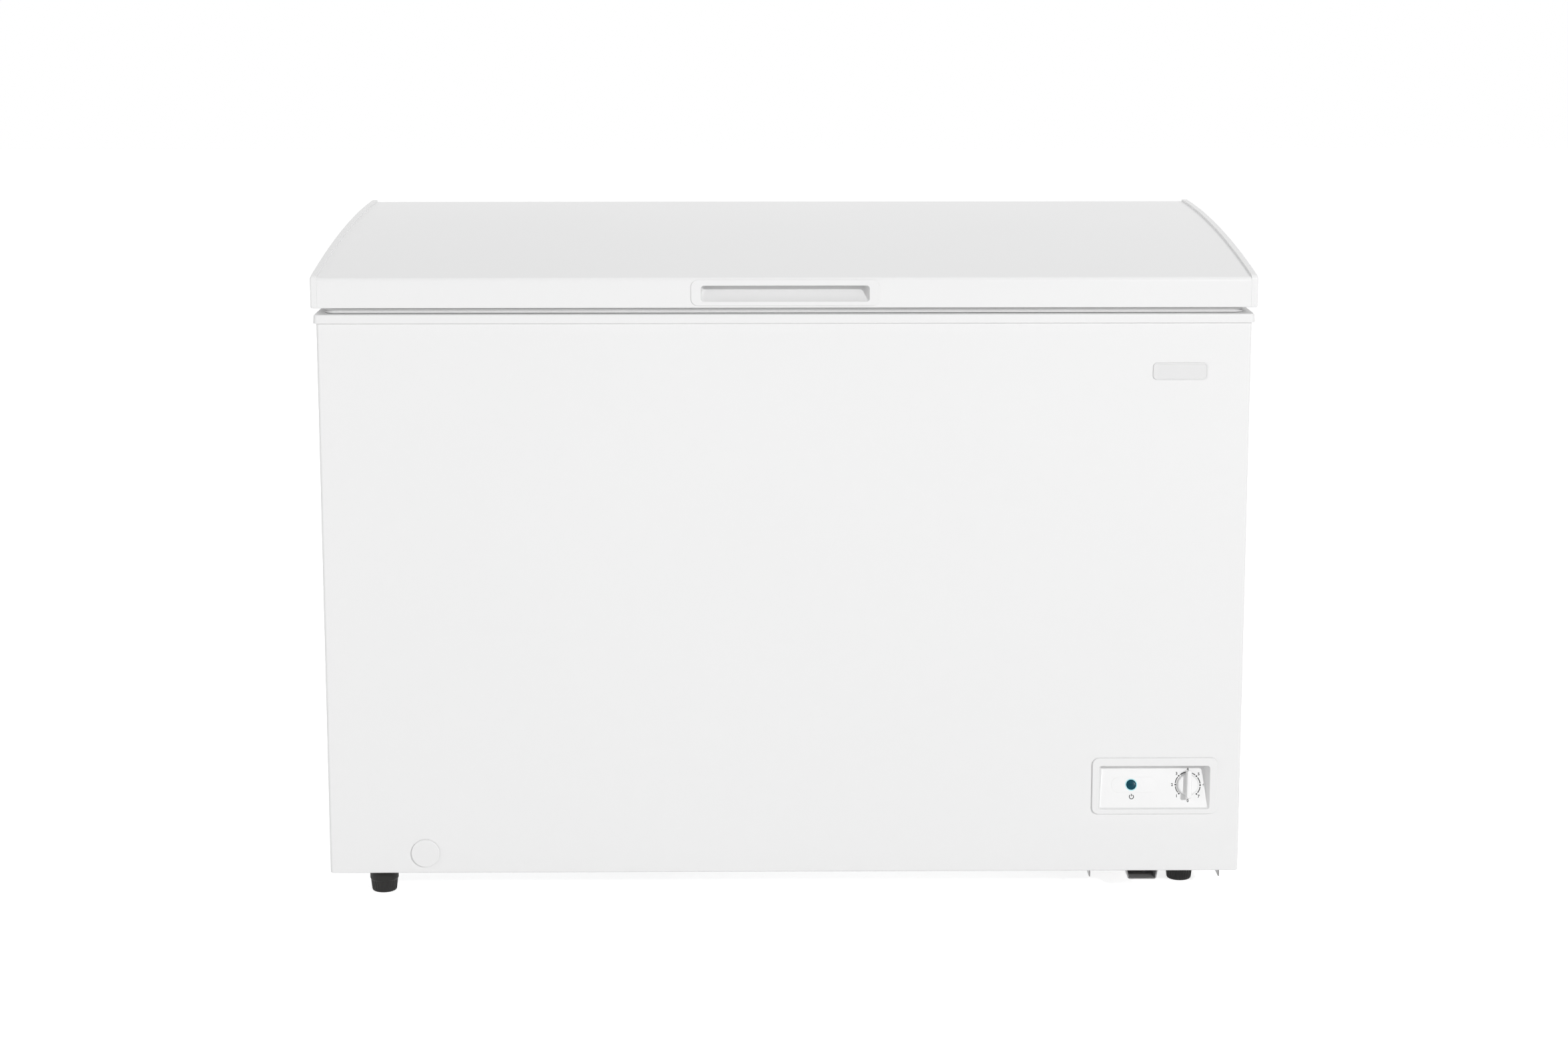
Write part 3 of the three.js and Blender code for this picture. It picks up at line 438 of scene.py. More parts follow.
def centred(row):
    """A row of points all at the middle of the given row, to close a surface there."""
    return np.broadcast_to(row.mean(axis=0), row.shape)[None]


white_moulding = finish("white_moulding", even_coat, 0.00002, Colour=grey(0.85), Clouded_Colour=grey(0.835),
                        Roughness=0.38, Grain_Scale=900.0, Cloud_Scale=4.0)
front = wrap_low.y
collar_outside = (collar_low.x, collar_high.x, collar_low.y, collar_high.y, 0.006)
tank_mouth = (-0.4997, 0.4997, front + 0.0583, front + 0.5297, 0.0247)
ledge_mouth = (-0.497, 0.497, front + 0.068, front + 0.52, 0.014)
collar_seat = (wrap_low.x - touch_gap, wrap_high.x + touch_gap, wrap_low.y - touch_gap,
               wrap_high.y + touch_gap, wrap_corner)
edge_in, edge_drop = rounding(0.0018)
lip_in, lip_drop = rounding(0.0015)
skirt_foot = collar_high.z - collar_skirt
collar_rows = np.vstack([
    stacked(collar_seat, [0.0], [skirt_foot]),
    stacked(collar_outside, [0.0004, 0.0, 0.0], skirt_foot + np.array([0.0, 0.0004, 0.0012])),
    stacked(collar_outside, collar_flare + edge_in, collar_high.z - edge_drop),
    stacked(tank_mouth, (lip_wall - lip_in)[::-1], collar_high.z - lip_drop[::-1]),
    stacked(tank_mouth, [lip_wall], [collar_low.z + ledge_thickness + 0.001]),
    stacked(ledge_mouth, [0.0003, 0.0, 0.0, 0.0003],
            collar_low.z + np.array([ledge_thickness, ledge_thickness - 0.0004, 0.0004, 0.0])),
    stacked(tank_mouth, [0.0, 0.0], [collar_low.z, collar_high.z - collar_wall]),
    stacked(collar_seat, [0.0], [collar_high.z - collar_wall]),
])
piece("cabinet_collar", patch(collar_rows, ring=True), white_moulding, "cabinet",
      ["top_collar"])

# ------------------
# Badge plate. A plain grey moulded blank with a raised rim round a sunk face,
# stuck to the front of the cabinet.
badge_low, badge_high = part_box("badge_plate")
badge_rim = 0.0014
badge_sink = 0.0004


def front_outline(low, high, radius):
    """A box's outline seen from the front: left, right, bottom, top and corner radius."""
    return low.x, high.x, low.z, high.z, radius


def facing_front(points):
    """Points laid out flat, stood up: their height becomes the distance forward of the front face."""
    return grid(points[..., 0], front - points[..., 2], points[..., 1])


badge_outline = front_outline(badge_low, badge_high, 0.005)
rim_in, rim_drop = rounding(0.0005, 3)
badge_proud = front - badge_low.y
badge_rows = facing_front(np.vstack([
    stacked(badge_outline, [0.0], [touch_gap]),
    stacked(badge_outline, rim_in, badge_proud - rim_drop),
    stacked(badge_outline, badge_rim + rim_in, badge_proud - rim_drop[::-1]),
    stacked(badge_outline, [badge_rim + 0.0009], [badge_proud - badge_sink - 0.0002]),
]))
badge_back = facing_front(stacked(badge_outline, [0.0], [touch_gap]))
badge_grey = finish("badge_grey", even_coat, 0.00001, Colour=grey(0.79), Clouded_Colour=grey(0.765),
                    Roughness=0.3, Grain_Scale=1400.0, Cloud_Scale=30.0)
badge_points = np.vstack([centred(badge_back[0]), badge_rows, centred(badge_rows[-1])])
piece("blank_badge", badge_points, badge_grey, "cabinet", ["badge_plate"])

# ------------------
# Drain. A flat cap plugs the outer end of the drain duct, whose moulded ring
# lines the hole in the wrap. The duct itself runs back through the foam.


def turned(profile, centre, axis, steps=48):
    """A profile of radius and height rows turned about an axis through a centre."""
    axis = Vector(axis).normalized()
    side = axis.orthogonal().normalized()
    other = axis.cross(side)
    radius, height = np.asarray(profile, float).T
    turn = np.linspace(0.0, 2 * np.pi, steps, endpoint=False)
    around = np.cos(turn)[:, None] * np.array(side) + np.sin(turn)[:, None] * np.array(other)
    return np.array(centre) + height[:, None, None] * np.array(axis) + radius[:, None, None] * around


def rounded_profile(corners, bend, steps=4):
    """A path through corners, each but the first and last rounded by a curve that starts a bend away."""
    corners = np.asarray(corners, float)
    before, corner, after = corners[:-2], corners[1:-1], corners[2:]
    back = before - corner
    ahead = after - corner
    back_length = np.linalg.norm(back, axis=1, keepdims=True)
    ahead_length = np.linalg.norm(ahead, axis=1, keepdims=True)
    start = corner + back / back_length * np.minimum(bend, back_length * 0.45)
    end = corner + ahead / ahead_length * np.minimum(bend, ahead_length * 0.45)
    t = np.linspace(0.0, 1.0, steps + 1)[None, :, None]
    curve = (1 - t) ** 2 * start[:, None] + 2 * t * (1 - t) * corner[:, None] + t ** 2 * end[:, None]
    return np.vstack([corners[:1], curve.reshape(-1, corners.shape[1]), corners[-1:]])


drain_place = (drain_centre[0], front, drain_centre[1])
forward = (0.0, -1.0, 0.0)
cap_profile = rounded_profile([
    (0.0, -0.018), (0.005, -0.018), (0.0054, -0.01), (0.0054, 0.0004), (0.0174, 0.0004), (0.0174, 0.0033),
    (0.0167, 0.0038), (0.0, 0.004)], 0.0006)
piece("drain_cap_moulding", turned(cap_profile, drain_place, forward), white_moulding, "outer_drain_cap",
      ["drain_cap"])
mouth_profile = rounded_profile([
    (0.0061, -0.0022), (0.0061, 0.0002), (0.0152, 0.0002), (0.0152, -0.0001), (0.0126, -0.0001),
    (0.0126, -0.0022), (0.0061, -0.0022)], 0.0002, 2)
piece("drain_mouth_ring", turned(mouth_profile, drain_place, forward), white_moulding, "cabinet")


def keep_node(name, material):
    """A carried CAD node whose shape is right gets its finish."""
    frame["nodes"][name].material_slots[0].material = material


keep_node("drain_duct", white_moulding)

# ------------------
# Feet. Four black moulded levelling feet with gripping ribs, each on a plated
# screw. The left pair screws into the cabinet, the right pair into the base plate.
black_moulding = finish("black_moulding", even_coat, 0.00004, Colour=grey(0.014, 0.02),
                        Clouded_Colour=grey(0.02, 0.02), Roughness=0.52, Roughness_Spread=0.15,
                        Grain_Scale=1600.0, Cloud_Scale=40.0, Dust=0.2, Specular_IOR_Level=0.25)
foot_places = ("front_left", "rear_left", "front_right", "rear_right")
foot_band = 0.015               # the ribbed side ends here and the collar above it begins
rib_count = 28
rib_depth = 0.0007


def ribbed(points, centre, count, depth, start, end):
    """Pushes the side of a turned shape in and out in even ribs between two heights."""
    across = points[..., 0] - centre[0]
    along = points[..., 1] - centre[1]
    turn = np.arctan2(along, across)
    height = points[..., 2]
    fade = np.clip((height - start) / 0.0015, 0, 1) * np.clip((end - height) / 0.0015, 0, 1)
    groove = (0.5 - 0.5 * np.cos(count * turn)) ** 0.6
    push = 1 - depth * fade * groove / np.maximum(np.hypot(across, along), 1e-6)
    shaped = points.copy()
    shaped[..., 0] = centre[0] + across * push
    shaped[..., 1] = centre[1] + along * push
    return shaped


plated_sockets = [
    ("Place", "Vector", None),
    ("Colour", "Color", COLOUR),
    ("Dull Colour", "Color", COLOUR),
    ("Roughness", "Float", 0.35),
    ("Spangle Scale", "Float", 120.0),
    ("Dust", "Float", 0.0),
]
# Zinc and other plating: crystals of slightly different grey, with duller streaks between them.
plated, given = effect("plated", plated_sockets)
crystals = node(plated, "TexVoronoi", {"Vector": given["Place"], "Scale": given["Spangle Scale"]})
shade = node(plated, "SeparateColor", {0: crystals.outputs["Color"]}).outputs[0]
streaks = noise_in(plated, given["Place"], 24.0, 4.0)
tone = maths(plated, "MULTIPLY_ADD", shade, 0.55, maths(plated, "MULTIPLY", streaks, 0.45))
metal_colour = mixed(plated, given["Colour"], given["Dull Colour"], tone)
film = maths(plated, "MULTIPLY", streaks, given["Dust"])
dust_tone = plated.nodes.new("ShaderNodeRGB").outputs[0]
dust_tone.default_value = (0.36, 0.34, 0.31, 1.0)
duller = maths(plated, "MULTIPLY_ADD", tone, 0.18, given["Roughness"])
put_out(plated, Colour=mixed(plated, metal_colour, dust_tone, film),
        Roughness=maths(plated, "ADD", duller, maths(plated, "MULTIPLY", film, 0.4)),
        Height=maths(plated, "ADD", tone, noise_in(plated, given["Place"], 700.0)))

zinc_plate = finish("zinc_plate", plated, 0.00002, Colour=grey(0.62, -0.01), Dull_Colour=grey(0.45, -0.02),
                    Roughness=0.34, Dust=0.25, Metallic=0.85)
bright_plate = finish("bright_plate", plated, 0.00001, Colour=grey(0.72, 0.01),
                      Dull_Colour=grey(0.6, 0.01), Roughness=0.24, Spangle_Scale=500.0, Dust=0.08,
                      Metallic=1.0)
thread_pitch = 0.00125
thread_depth = 0.0007


def threaded_rod(centre, radius, low, high, steps=24, per_turn=6):
    """A screw shank: its radius rises and falls once a pitch along a line that climbs one pitch a turn."""
    rows = int((high - low) / thread_pitch * per_turn) + 1
    height = np.linspace(low, high, rows)[:, None]
    turn = np.linspace(0.0, 2 * np.pi, steps, endpoint=False)[None, :]
    phase = height / thread_pitch - turn / (2 * np.pi)
    crest = 0.5 + 0.5 * np.cos(2 * np.pi * phase)
    fade = np.clip((height - low) / thread_pitch, 0, 1) * np.clip((high - height) / thread_pitch, 0, 1)
    reach = radius - thread_depth * (1 - crest * fade)
    side = grid(centre[0] + reach * np.cos(turn), centre[1] + reach * np.sin(turn), height)
    return np.vstack([centred(side[0]), side, centred(side[-1])])


for place in foot_places:
    foot_low, foot_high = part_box("foot_" + place)
    foot_centre = ((foot_low.x + foot_high.x) / 2, (foot_low.y + foot_high.y) / 2, 0.0)
    foot_top = foot_high.z
    foot_profile = rounded_profile([
        (0.0, 0.0008), (0.0126, 0.0008), (0.013, 0.0), (0.0144, 0.0), (0.0154, 0.0015),
        (0.0169, foot_band), (0.0177, foot_band + 0.0008), (0.0177, foot_top - 0.002), (0.016, foot_top),
        (0.0086, foot_top), (0.008, foot_top - 0.0015), (0.0062, foot_top - 0.0015), (0.0058, foot_top),
        (0.0044, foot_top), (0.0044, foot_top - 0.012), (0.0, foot_top - 0.012)], 0.0008, 3)
    side_heights = np.linspace(0.0025, foot_band - 0.001, 8)
    side = np.stack([np.interp(side_heights, [0.0015, foot_band], [0.0154, 0.0169]), side_heights], axis=1)
    below = foot_profile[:np.argmax(foot_profile[:, 1] > 0.002)]
    above = foot_profile[np.argmax(foot_profile[:, 1] > foot_band - 0.0008):]
    foot_points = turned(np.vstack([below, side, above]), foot_centre, (0, 0, 1), rib_count * 6)
    foot_points = ribbed(foot_points, foot_centre, rib_count, rib_depth, 0.002, foot_band)
    piece("foot_moulding_" + place, foot_points, black_moulding, place + "_foot",
          ["foot_" + place], crease=50.0)
    stud_low, stud_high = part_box("foot_stud_" + place)
    stud = threaded_rod(foot_centre, 0.004, stud_low.z, stud_high.z)
    piece("foot_screw_" + place, stud, bright_plate, place + "_foot", ["foot_stud_" + place],
          crease=60.0)

# ------------------
# Lid skin. Prepainted steel bent over the front and rear edges and sprung into
# a low dome, with its bottom edge rolled in. The handle drops into a punched hole.
skin_low, skin_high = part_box("lid_skin")
handle_low, handle_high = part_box("lid_handle")
lid_sheet = 0.001
lid_bend = 0.005
lid_roll = 0.0015
lid_flange = 0.008
lid_front_edge = 0.7756         # where the dome would meet the front face
dome_slope = 0.127
dome_radius = 4.5
handle_hole = (handle_low.x + 0.0095, handle_high.x - 0.0095, 0.7449, 0.7693)


def dome_height(depth):
    """The dome's height: it starts up the slope at the front edge and falls away as a large circle does."""
    back = depth - skin_low.y
    return lid_front_edge + dome_slope * back - back ** 2 / (2 * dome_radius)


def dome_lean(depth):
    """The dome's slope angle at a depth."""
    return np.arctan(dome_slope - (depth - skin_low.y) / dome_radius)


def lid_side(rise, bend, roll, dome_steps=24, bend_steps=6):
    """The lid seen from the side, from its front roll up, over the dome and down to the rear roll.
    Each bend is an arc between the upright face and the dome's own slope there."""
    near = skin_low.y
    far = skin_high.y
    base = skin_low.z
    near_lean = dome_lean(near)
    far_lean = dome_lean(far)
    near_turn = np.linspace(np.pi, np.pi / 2 + near_lean, bend_steps + 1)
    far_turn = np.linspace(np.pi / 2 + far_lean, 0.0, bend_steps + 1)
    near_up = dome_height(near) + rise + np.tan(near_lean) * bend - bend / np.cos(near_lean)
    far_up = dome_height(far) + rise - np.tan(far_lean) * bend - bend / np.cos(far_lean)
    near_end = near + bend - bend * np.sin(near_lean)
    far_end = far - bend - bend * np.sin(far_lean)
    top = np.linspace(near_end, far_end, dome_steps)
    roll_turn = np.linspace(0.0, np.pi / 2, 4)
    roll_in, roll_up = roll * (1 - np.sin(roll_turn)), roll * (1 - np.cos(roll_turn))
    return np.vstack([
        np.stack([near + roll_in, base + roll_up], axis=1),
        np.stack([near + bend + bend * np.cos(near_turn), near_up + bend * np.sin(near_turn)], axis=1),
        np.stack([top[1:-1], dome_height(top[1:-1]) + rise], axis=1),
        np.stack([far - bend + bend * np.cos(far_turn), far_up + bend * np.sin(far_turn)], axis=1),
        np.stack([far - roll_in[::-1], base + roll_up[::-1]], axis=1),
    ])


def across(side, places):
    """A side outline of depth and height rows carried across the freezer to each place."""
    return grid(places, side[:, :1], side[:, 1:])


skin_side = lid_side(0.0, lid_bend, lid_roll)
front_marks = np.array([[skin_low.y, height] for height in (handle_hole[2], handle_hole[3])])
bend_start = np.argmax(skin_side[:, 1] > 0.76)
skin_side = np.vstack([[[skin_low.y + lid_flange, skin_low.z]], skin_side[:bend_start], front_marks,
                       skin_side[bend_start:], [[skin_high.y - lid_flange, skin_low.z]]])
cap_seat = 0.00025              # the skin's ends are pressed this far into the caps
skin_places = np.array([skin_low.x - cap_seat, handle_hole[0], handle_hole[1], skin_high.x + cap_seat])
skin_points = across(skin_side, skin_places)
skin_cell = (skin_points[:-1, :-1] + skin_points[1:, 1:]) / 2
handle_cut = within(skin_cell[..., 0], skin_cell[..., 2], handle_hole)
handle_cut &= skin_cell[..., 1] < skin_low.y + 1e-4
piece("lid_skin_steel", patch(skin_points, closed=False, keep=~handle_cut), white_paint, "lid",
      ["lid_skin"], wall=lid_sheet)

# ------------------
# Lid end caps. Two moulded caps that close the lid's ends and stand a little
# proud of the dome, with a rounded outer edge and a fine joint line at the skin.
cap_proud = 0.00265
cap_edge = 0.0022


def drawn_in(outline, insets):
    """A closed outline moved inwards by each inset, along the line that halves the corner at each point."""
    before = outline - np.roll(outline, 1, axis=0)
    after = np.roll(outline, -1, axis=0) - outline
    before /= np.linalg.norm(before, axis=1, keepdims=True)
    after /= np.linalg.norm(after, axis=1, keepdims=True)
    inward = np.stack([-(before[:, 1] + after[:, 1]), before[:, 0] + after[:, 0]], axis=1)
    inward /= (1 + (before * after).sum(axis=1))[:, None]
    return outline + np.asarray(insets, float)[:, None, None] * inward


def set_across(loops, places):
    """Loops of depth and height, each set at its own place across the freezer."""
    return grid(places[:, None], loops[..., 0], loops[..., 1])


cap_outline = lid_side(cap_proud, lid_bend + 0.001, 0.0012)[::-1]
for hand, side_sign in (("left", -1), ("right", 1)):
    end_low, end_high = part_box("lid_end_cap_" + hand)
    inner_face, outer_face = (end_high.x, end_low.x) if side_sign < 0 else (end_low.x, end_high.x)
    round_in, round_drop = rounding(cap_edge, 5)
    inner_in, inner_drop = rounding(0.00015, 2)
    insets = np.r_[inner_in[::-1], round_in]
    places = np.r_[inner_face + side_sign * inner_drop[::-1], outer_face - side_sign * round_drop]
    cap_points = set_across(drawn_in(cap_outline, insets), places)
    piece("lid_end_moulding_" + hand, cap_points, white_moulding, "lid",
          ["lid_end_cap_" + hand])

# ------------------
# Lid gasket. A soft vinyl bellows all round the lid's underside, pushed into a
# groove above and resting on the collar. It has two lips with a fold between.
gasket_low, gasket_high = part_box("lid_gasket")
gasket_outline = (gasket_low.x + 0.0035, gasket_high.x - 0.0035, gasket_low.y, gasket_high.y, 0.014)
gasket_side = rounded_profile([
    (0.0046, 1.00), (0.0044, 0.88), (0.0038, 0.8), (0.0008, 0.74), (0.0, 0.66), (0.0002, 0.46),
    (0.0022, 0.38), (0.0024, 0.32), (0.0008, 0.26), (0.0006, 0.1), (0.0022, 0.0), (0.015, 0.0),
    (0.0172, 0.08), (0.0178, 0.3), (0.015, 0.5), (0.015, 0.6), (0.0176, 0.78), (0.016, 1.0),
    (0.0046, 1.0)], 0.06, 3)
gasket_rise = gasket_low.z + gasket_side[:, 1] * (gasket_high.z - gasket_low.z)
gasket_points = stacked(gasket_outline, gasket_side[:-1, 0], gasket_rise[:-1], 10)
gasket_vinyl = finish("gasket_vinyl", even_coat, 0.00003, Colour=grey(0.82), Clouded_Colour=grey(0.76),
                      Roughness=0.55, Grain_Scale=700.0, Cloud_Scale=9.0)
piece("lid_gasket_bellows", patch(gasket_points, ring=True), gasket_vinyl, "lid", ["lid_gasket"])

# ------------------
# Lid handle. One white moulding: a thin bezel with rounded corners round a
# finger scoop, whose floor ramps up to meet its ceiling at the back.
bezel_outline = front_outline(handle_low, handle_high, 0.0087)
scoop_margin = 0.0119
scoop_floor = 0.7476
scoop_ceiling = 0.7664
scoop_depth = 0.0223
scoop_wall = 0.0016
bezel_front = handle_low.y
bezel_back = skin_low.y - touch_gap


def scoop_loops(grow, swell, steps):
    """Outlines of the scoop from its mouth to its back, grown by a margin, in X, height and depth.
    The floor is a ramp that steepens towards the back."""
    t = np.linspace(0.0, 0.965, steps)
    depth = t * (1 - t) + t ** 2 * 1.02
    floor = scoop_floor + (scoop_ceiling - scoop_floor) * (2 * t * (1 - t) * 0.36 + t ** 2)
    narrower = 0.006 * t ** 2
    left = handle_low.x + scoop_margin + narrower - grow
    right = handle_high.x - scoop_margin - narrower + grow
    radius = np.minimum(0.0035 + grow, (scoop_ceiling - floor + 2 * grow) * 0.48)
    u, v = outlines(left, right, floor - grow, scoop_ceiling - 0.0008 * t + grow, radius, 8)
    back = bezel_front + swell + (scoop_depth + grow) * depth
    return grid(u, back[:, None], v)


def upright(points):
    """Stacked outlines of X and height stood up, so that what was their height is a place in depth."""
    return points[..., [0, 2, 1]]


bezel_in, bezel_drop = rounding(0.0005, 3)
mouth_in, mouth_drop = rounding(0.0008, 3)
mouth_outline = (handle_low.x + scoop_margin, handle_high.x - scoop_margin, scoop_floor, scoop_ceiling,
                 0.0035)
bezel_rows = upright(stacked(bezel_outline, np.r_[0.0, bezel_in],
                             np.r_[bezel_back, bezel_front + bezel_drop], 8))
mouth_rows = upright(stacked(mouth_outline, -mouth_in[::-1], bezel_front + mouth_drop[::-1], 8))
inside = scoop_loops(0.0, 0.0012, 14)
outside = scoop_loops(scoop_wall, 0.0022, 14)[::-1]
handle_points = np.vstack([bezel_rows, mouth_rows, inside, centred(inside[-1])])
mouth_behind = upright(stacked(mouth_outline, [-scoop_wall - 0.0002], [bezel_back], 8))
handle_behind = np.vstack([centred(outside[0]), outside, mouth_behind, bezel_rows[:1]])
piece("lid_handle_moulding", [handle_points, handle_behind], white_moulding, "lid",
      ["lid_handle"])

# ------------------
# Control bezel. A white moulding clipped into the wrap: a rounded flange round
# a drafted recess, whose floor leans back so that the dial faces up a little.
control_low, control_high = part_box("control_bezel")
dial_joint = next(joint for joint in frame["joints"] if joint["name"] == "dial_turn")
panel_out = -np.array(dial_joint["axis"])
panel_up = np.array([0.0, panel_out[2], -panel_out[1]])
dial_centre = np.array(dial_joint["pos_m"])
lens_low, lens_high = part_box("indicator_lens")
lamp_x = (lens_low.x + lens_high.x) / 2
recess_mouth = (0.3855, 0.5215, 0.118, 0.1728, 0.0028)
recess_draft = 0.006            # at the top of the recess, where it is deepest
recess_ease = 0.0045            # how much less it is at the foot
control_face = control_low.y
control_seat = wrap_low.y - touch_gap
shell_wall = 0.0024
bezel_corner = 0.008


def on_panel(points, centre=dial_centre):
    """Points given along, up and out of the leaning panel, placed about a centre on it."""
    return centre + np.asarray(points, float) @ np.array([(1.0, 0.0, 0.0), panel_up, panel_out])


def panel_spot(x, height):
    """The point of the leaning panel at an X and a height."""
    climb = (height - dial_centre[2]) / panel_up[2]
    return np.array([x, dial_centre[1] + climb * panel_up[1], height])


def laid_on_panel(points, lift):
    """Points of X and height moved in depth onto the panel, or behind it by the lift."""
    depth = dial_centre[1] + (points[..., 2] - dial_centre[2]) / panel_up[2] * panel_up[1]
    laid = points.copy()
    laid[..., 1] = depth + lift
    return laid


control_outline = front_outline(control_low, control_high, bezel_corner)
control_in, control_drop = rounding(0.0007, 3)
recess_in, recess_drop = rounding(0.0007, 3)
panel_outline = (recess_mouth[0] + recess_draft, recess_mouth[1] - recess_draft, recess_mouth[2] + 0.0012,
                 recess_mouth[3] - 0.001, 0.0018)
flange_rows = upright(stacked(control_outline, np.r_[0.0, control_in],
                              np.r_[control_seat, control_face + control_drop]))
mouth_rows = upright(stacked(recess_mouth, -recess_in[::-1], control_face + recess_drop[::-1]))
panel_flat = upright(stacked(panel_outline, [-0.0005, 0.0, 0.0012], [0.0] * 3))
recess_climb = (panel_flat[..., 2] - recess_mouth[2]) / (recess_mouth[3] - recess_mouth[2])
recess_middle = (recess_mouth[0] + recess_mouth[1]) / 2
recess_widening = 1 + recess_ease * (1 - recess_climb) / (recess_middle - panel_outline[0])
panel_flat[..., 0] = recess_middle + (panel_flat[..., 0] - recess_middle) * recess_widening
panel_rows = laid_on_panel(panel_flat, 0.0)
panel_rows[0, :, 1] -= 0.0004
behind_rows = laid_on_panel(upright(stacked(recess_mouth, [-shell_wall], [0.0])), shell_wall)
seat_rows = upright(stacked(recess_mouth, [-shell_wall], [control_seat]))
behind_rows[..., 1] = np.maximum(behind_rows[..., 1], seat_rows[..., 1])
control_points = np.vstack([flange_rows, mouth_rows, panel_rows, centred(panel_rows[-1])])
control_behind = np.vstack([centred(behind_rows[0]), behind_rows, seat_rows, flange_rows[:1]])
piece("control_bezel_moulding", [control_points, control_behind], white_moulding, "cabinet",
      ["control_bezel"], crease=40.0)

# ------------------
# Lamp surround. A long raised pad moulded on the panel behind the lamp, barely
# proud of it, with its ends fully round.
surround_x, surround_height = 0.43, 0.1455
surround_half, surround_end = 0.02795, 0.0094
surround = (-surround_half, surround_half, -surround_end, surround_end, surround_end - 1e-4)
surround_proud = 0.00028
surround_centre = panel_spot(surround_x, surround_height)
surround_in, surround_drop = rounding(0.0003, 2)
surround_rows = stacked(surround, np.r_[0.0, surround_in],
                        np.r_[-0.0003, surround_proud - surround_drop], 12)
surround_points = np.vstack([centred(surround_rows[0]), surround_rows, centred(surround_rows[-1])])
piece("lamp_surround", on_panel(surround_points, surround_centre), white_moulding, "cabinet")

# ------------------
# Dial markings. Dark ink printed on the panel: a broken ring with a dot at each
# setting, the numbers round it, and a power symbol under the lamp.
dial_ink = finish("dial_ink", even_coat, 0.000005, Colour=grey(0.045, 0.0), Clouded_Colour=grey(0.07, 0.0),
                  Roughness=0.5, Grain_Scale=2500.0, Cloud_Scale=300.0)
ink_lift = 0.00006
ring_radius = 0.0154
ring_width = 0.0012
dot_radius = 0.00105
number_radius = 0.0193
number_size = 0.0047
number_weight = 0.00018
print_turn = math.radians(1.3)       # the print sits a little clockwise
setting_step = math.radians(45)
power_height = 0.1317
power_inner, power_outer = 0.0021, 0.0031


def inked(inner, outer, start, end, centre=(0.0, 0.0), steps=10):
    """A flat ring stretch between two radii and two angles, measured clockwise from the top."""
    angle = np.linspace(start, end, steps)[None, :]
    radius = np.array([inner, outer])[:, None]
    return grid(centre[0] + radius * np.sin(angle), centre[1] + radius * np.cos(angle), ink_lift)


# Settings 1 to 7 run clockwise from the lower left, and 0 is at the bottom.
setting_angles = print_turn + math.pi + setting_step * np.arange(8)
dial_print = []
gap_angle = (dot_radius + 0.001) / ring_radius
for setting in range(8):
    angle = setting_angles[setting]
    spot = (ring_radius * math.sin(angle), ring_radius * math.cos(angle))
    dial_print.append(patch(on_panel(inked(0.0, dot_radius, 0.0, 2 * np.pi, spot, 17)), closed=False))
    if 1 <= setting < 7:
        stretch = inked(ring_radius - ring_width / 2, ring_radius + ring_width / 2, angle + gap_angle,
                        angle + setting_step - gap_angle, steps=14)
        dial_print.append(patch(on_panel(stretch), closed=False))
power_spot = panel_spot(lamp_x, power_height)
power_angle = math.radians(34)
power_ring = inked(power_inner, power_outer, power_angle, 2 * np.pi - power_angle, steps=33)
dial_print.append(patch(on_panel(power_ring, power_spot), closed=False))
bar = grid([-0.0005, 0.0005], [[0.0006], [0.0036]], ink_lift)
dial_print.append(patch(on_panel(bar, power_spot), closed=False))
piece("dial_marks", dial_print, dial_ink, "cabinet", wall=0.00004)


def printed_number(text, angle):
    """A number set upright on the panel, centred on its place round the dial, as a mesh."""
    letter = bpy.data.curves.new("number_" + text, "FONT")
    letter.body = text
    letter.size = number_size
    letter.offset = number_weight
    letter.align_x = "CENTER"
    letter.align_y = "CENTER"
    letter.extrude = 0.00002
    holder = bpy.data.objects.new("number_" + text, letter)
    scene.collection.objects.link(holder)
    bpy.context.view_layer.update()
    mesh = bpy.data.meshes.new_from_object(holder.evaluated_get(bpy.context.evaluated_depsgraph_get()))
    bpy.data.objects.remove(holder)
    points = np.zeros(len(mesh.vertices) * 3)
    mesh.vertices.foreach_get("co", points)
    points = points.reshape(-1, 3)
    points[:, :2] -= (points[:, :2].min(axis=0) + points[:, :2].max(axis=0)) / 2
    points += (number_radius * math.sin(angle), number_radius * math.cos(angle), ink_lift)
    mesh.vertices.foreach_set("co", on_panel(points).ravel())
    mesh.update()
    mesh.materials.clear()
    mesh.materials.append(dial_ink)
    number = bpy.data.objects.new("dial_number_" + text, mesh)
    scene.collection.objects.link(number)
    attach(number, "cabinet")


for setting in range(8):
    printed_number(str(setting), setting_angles[setting])

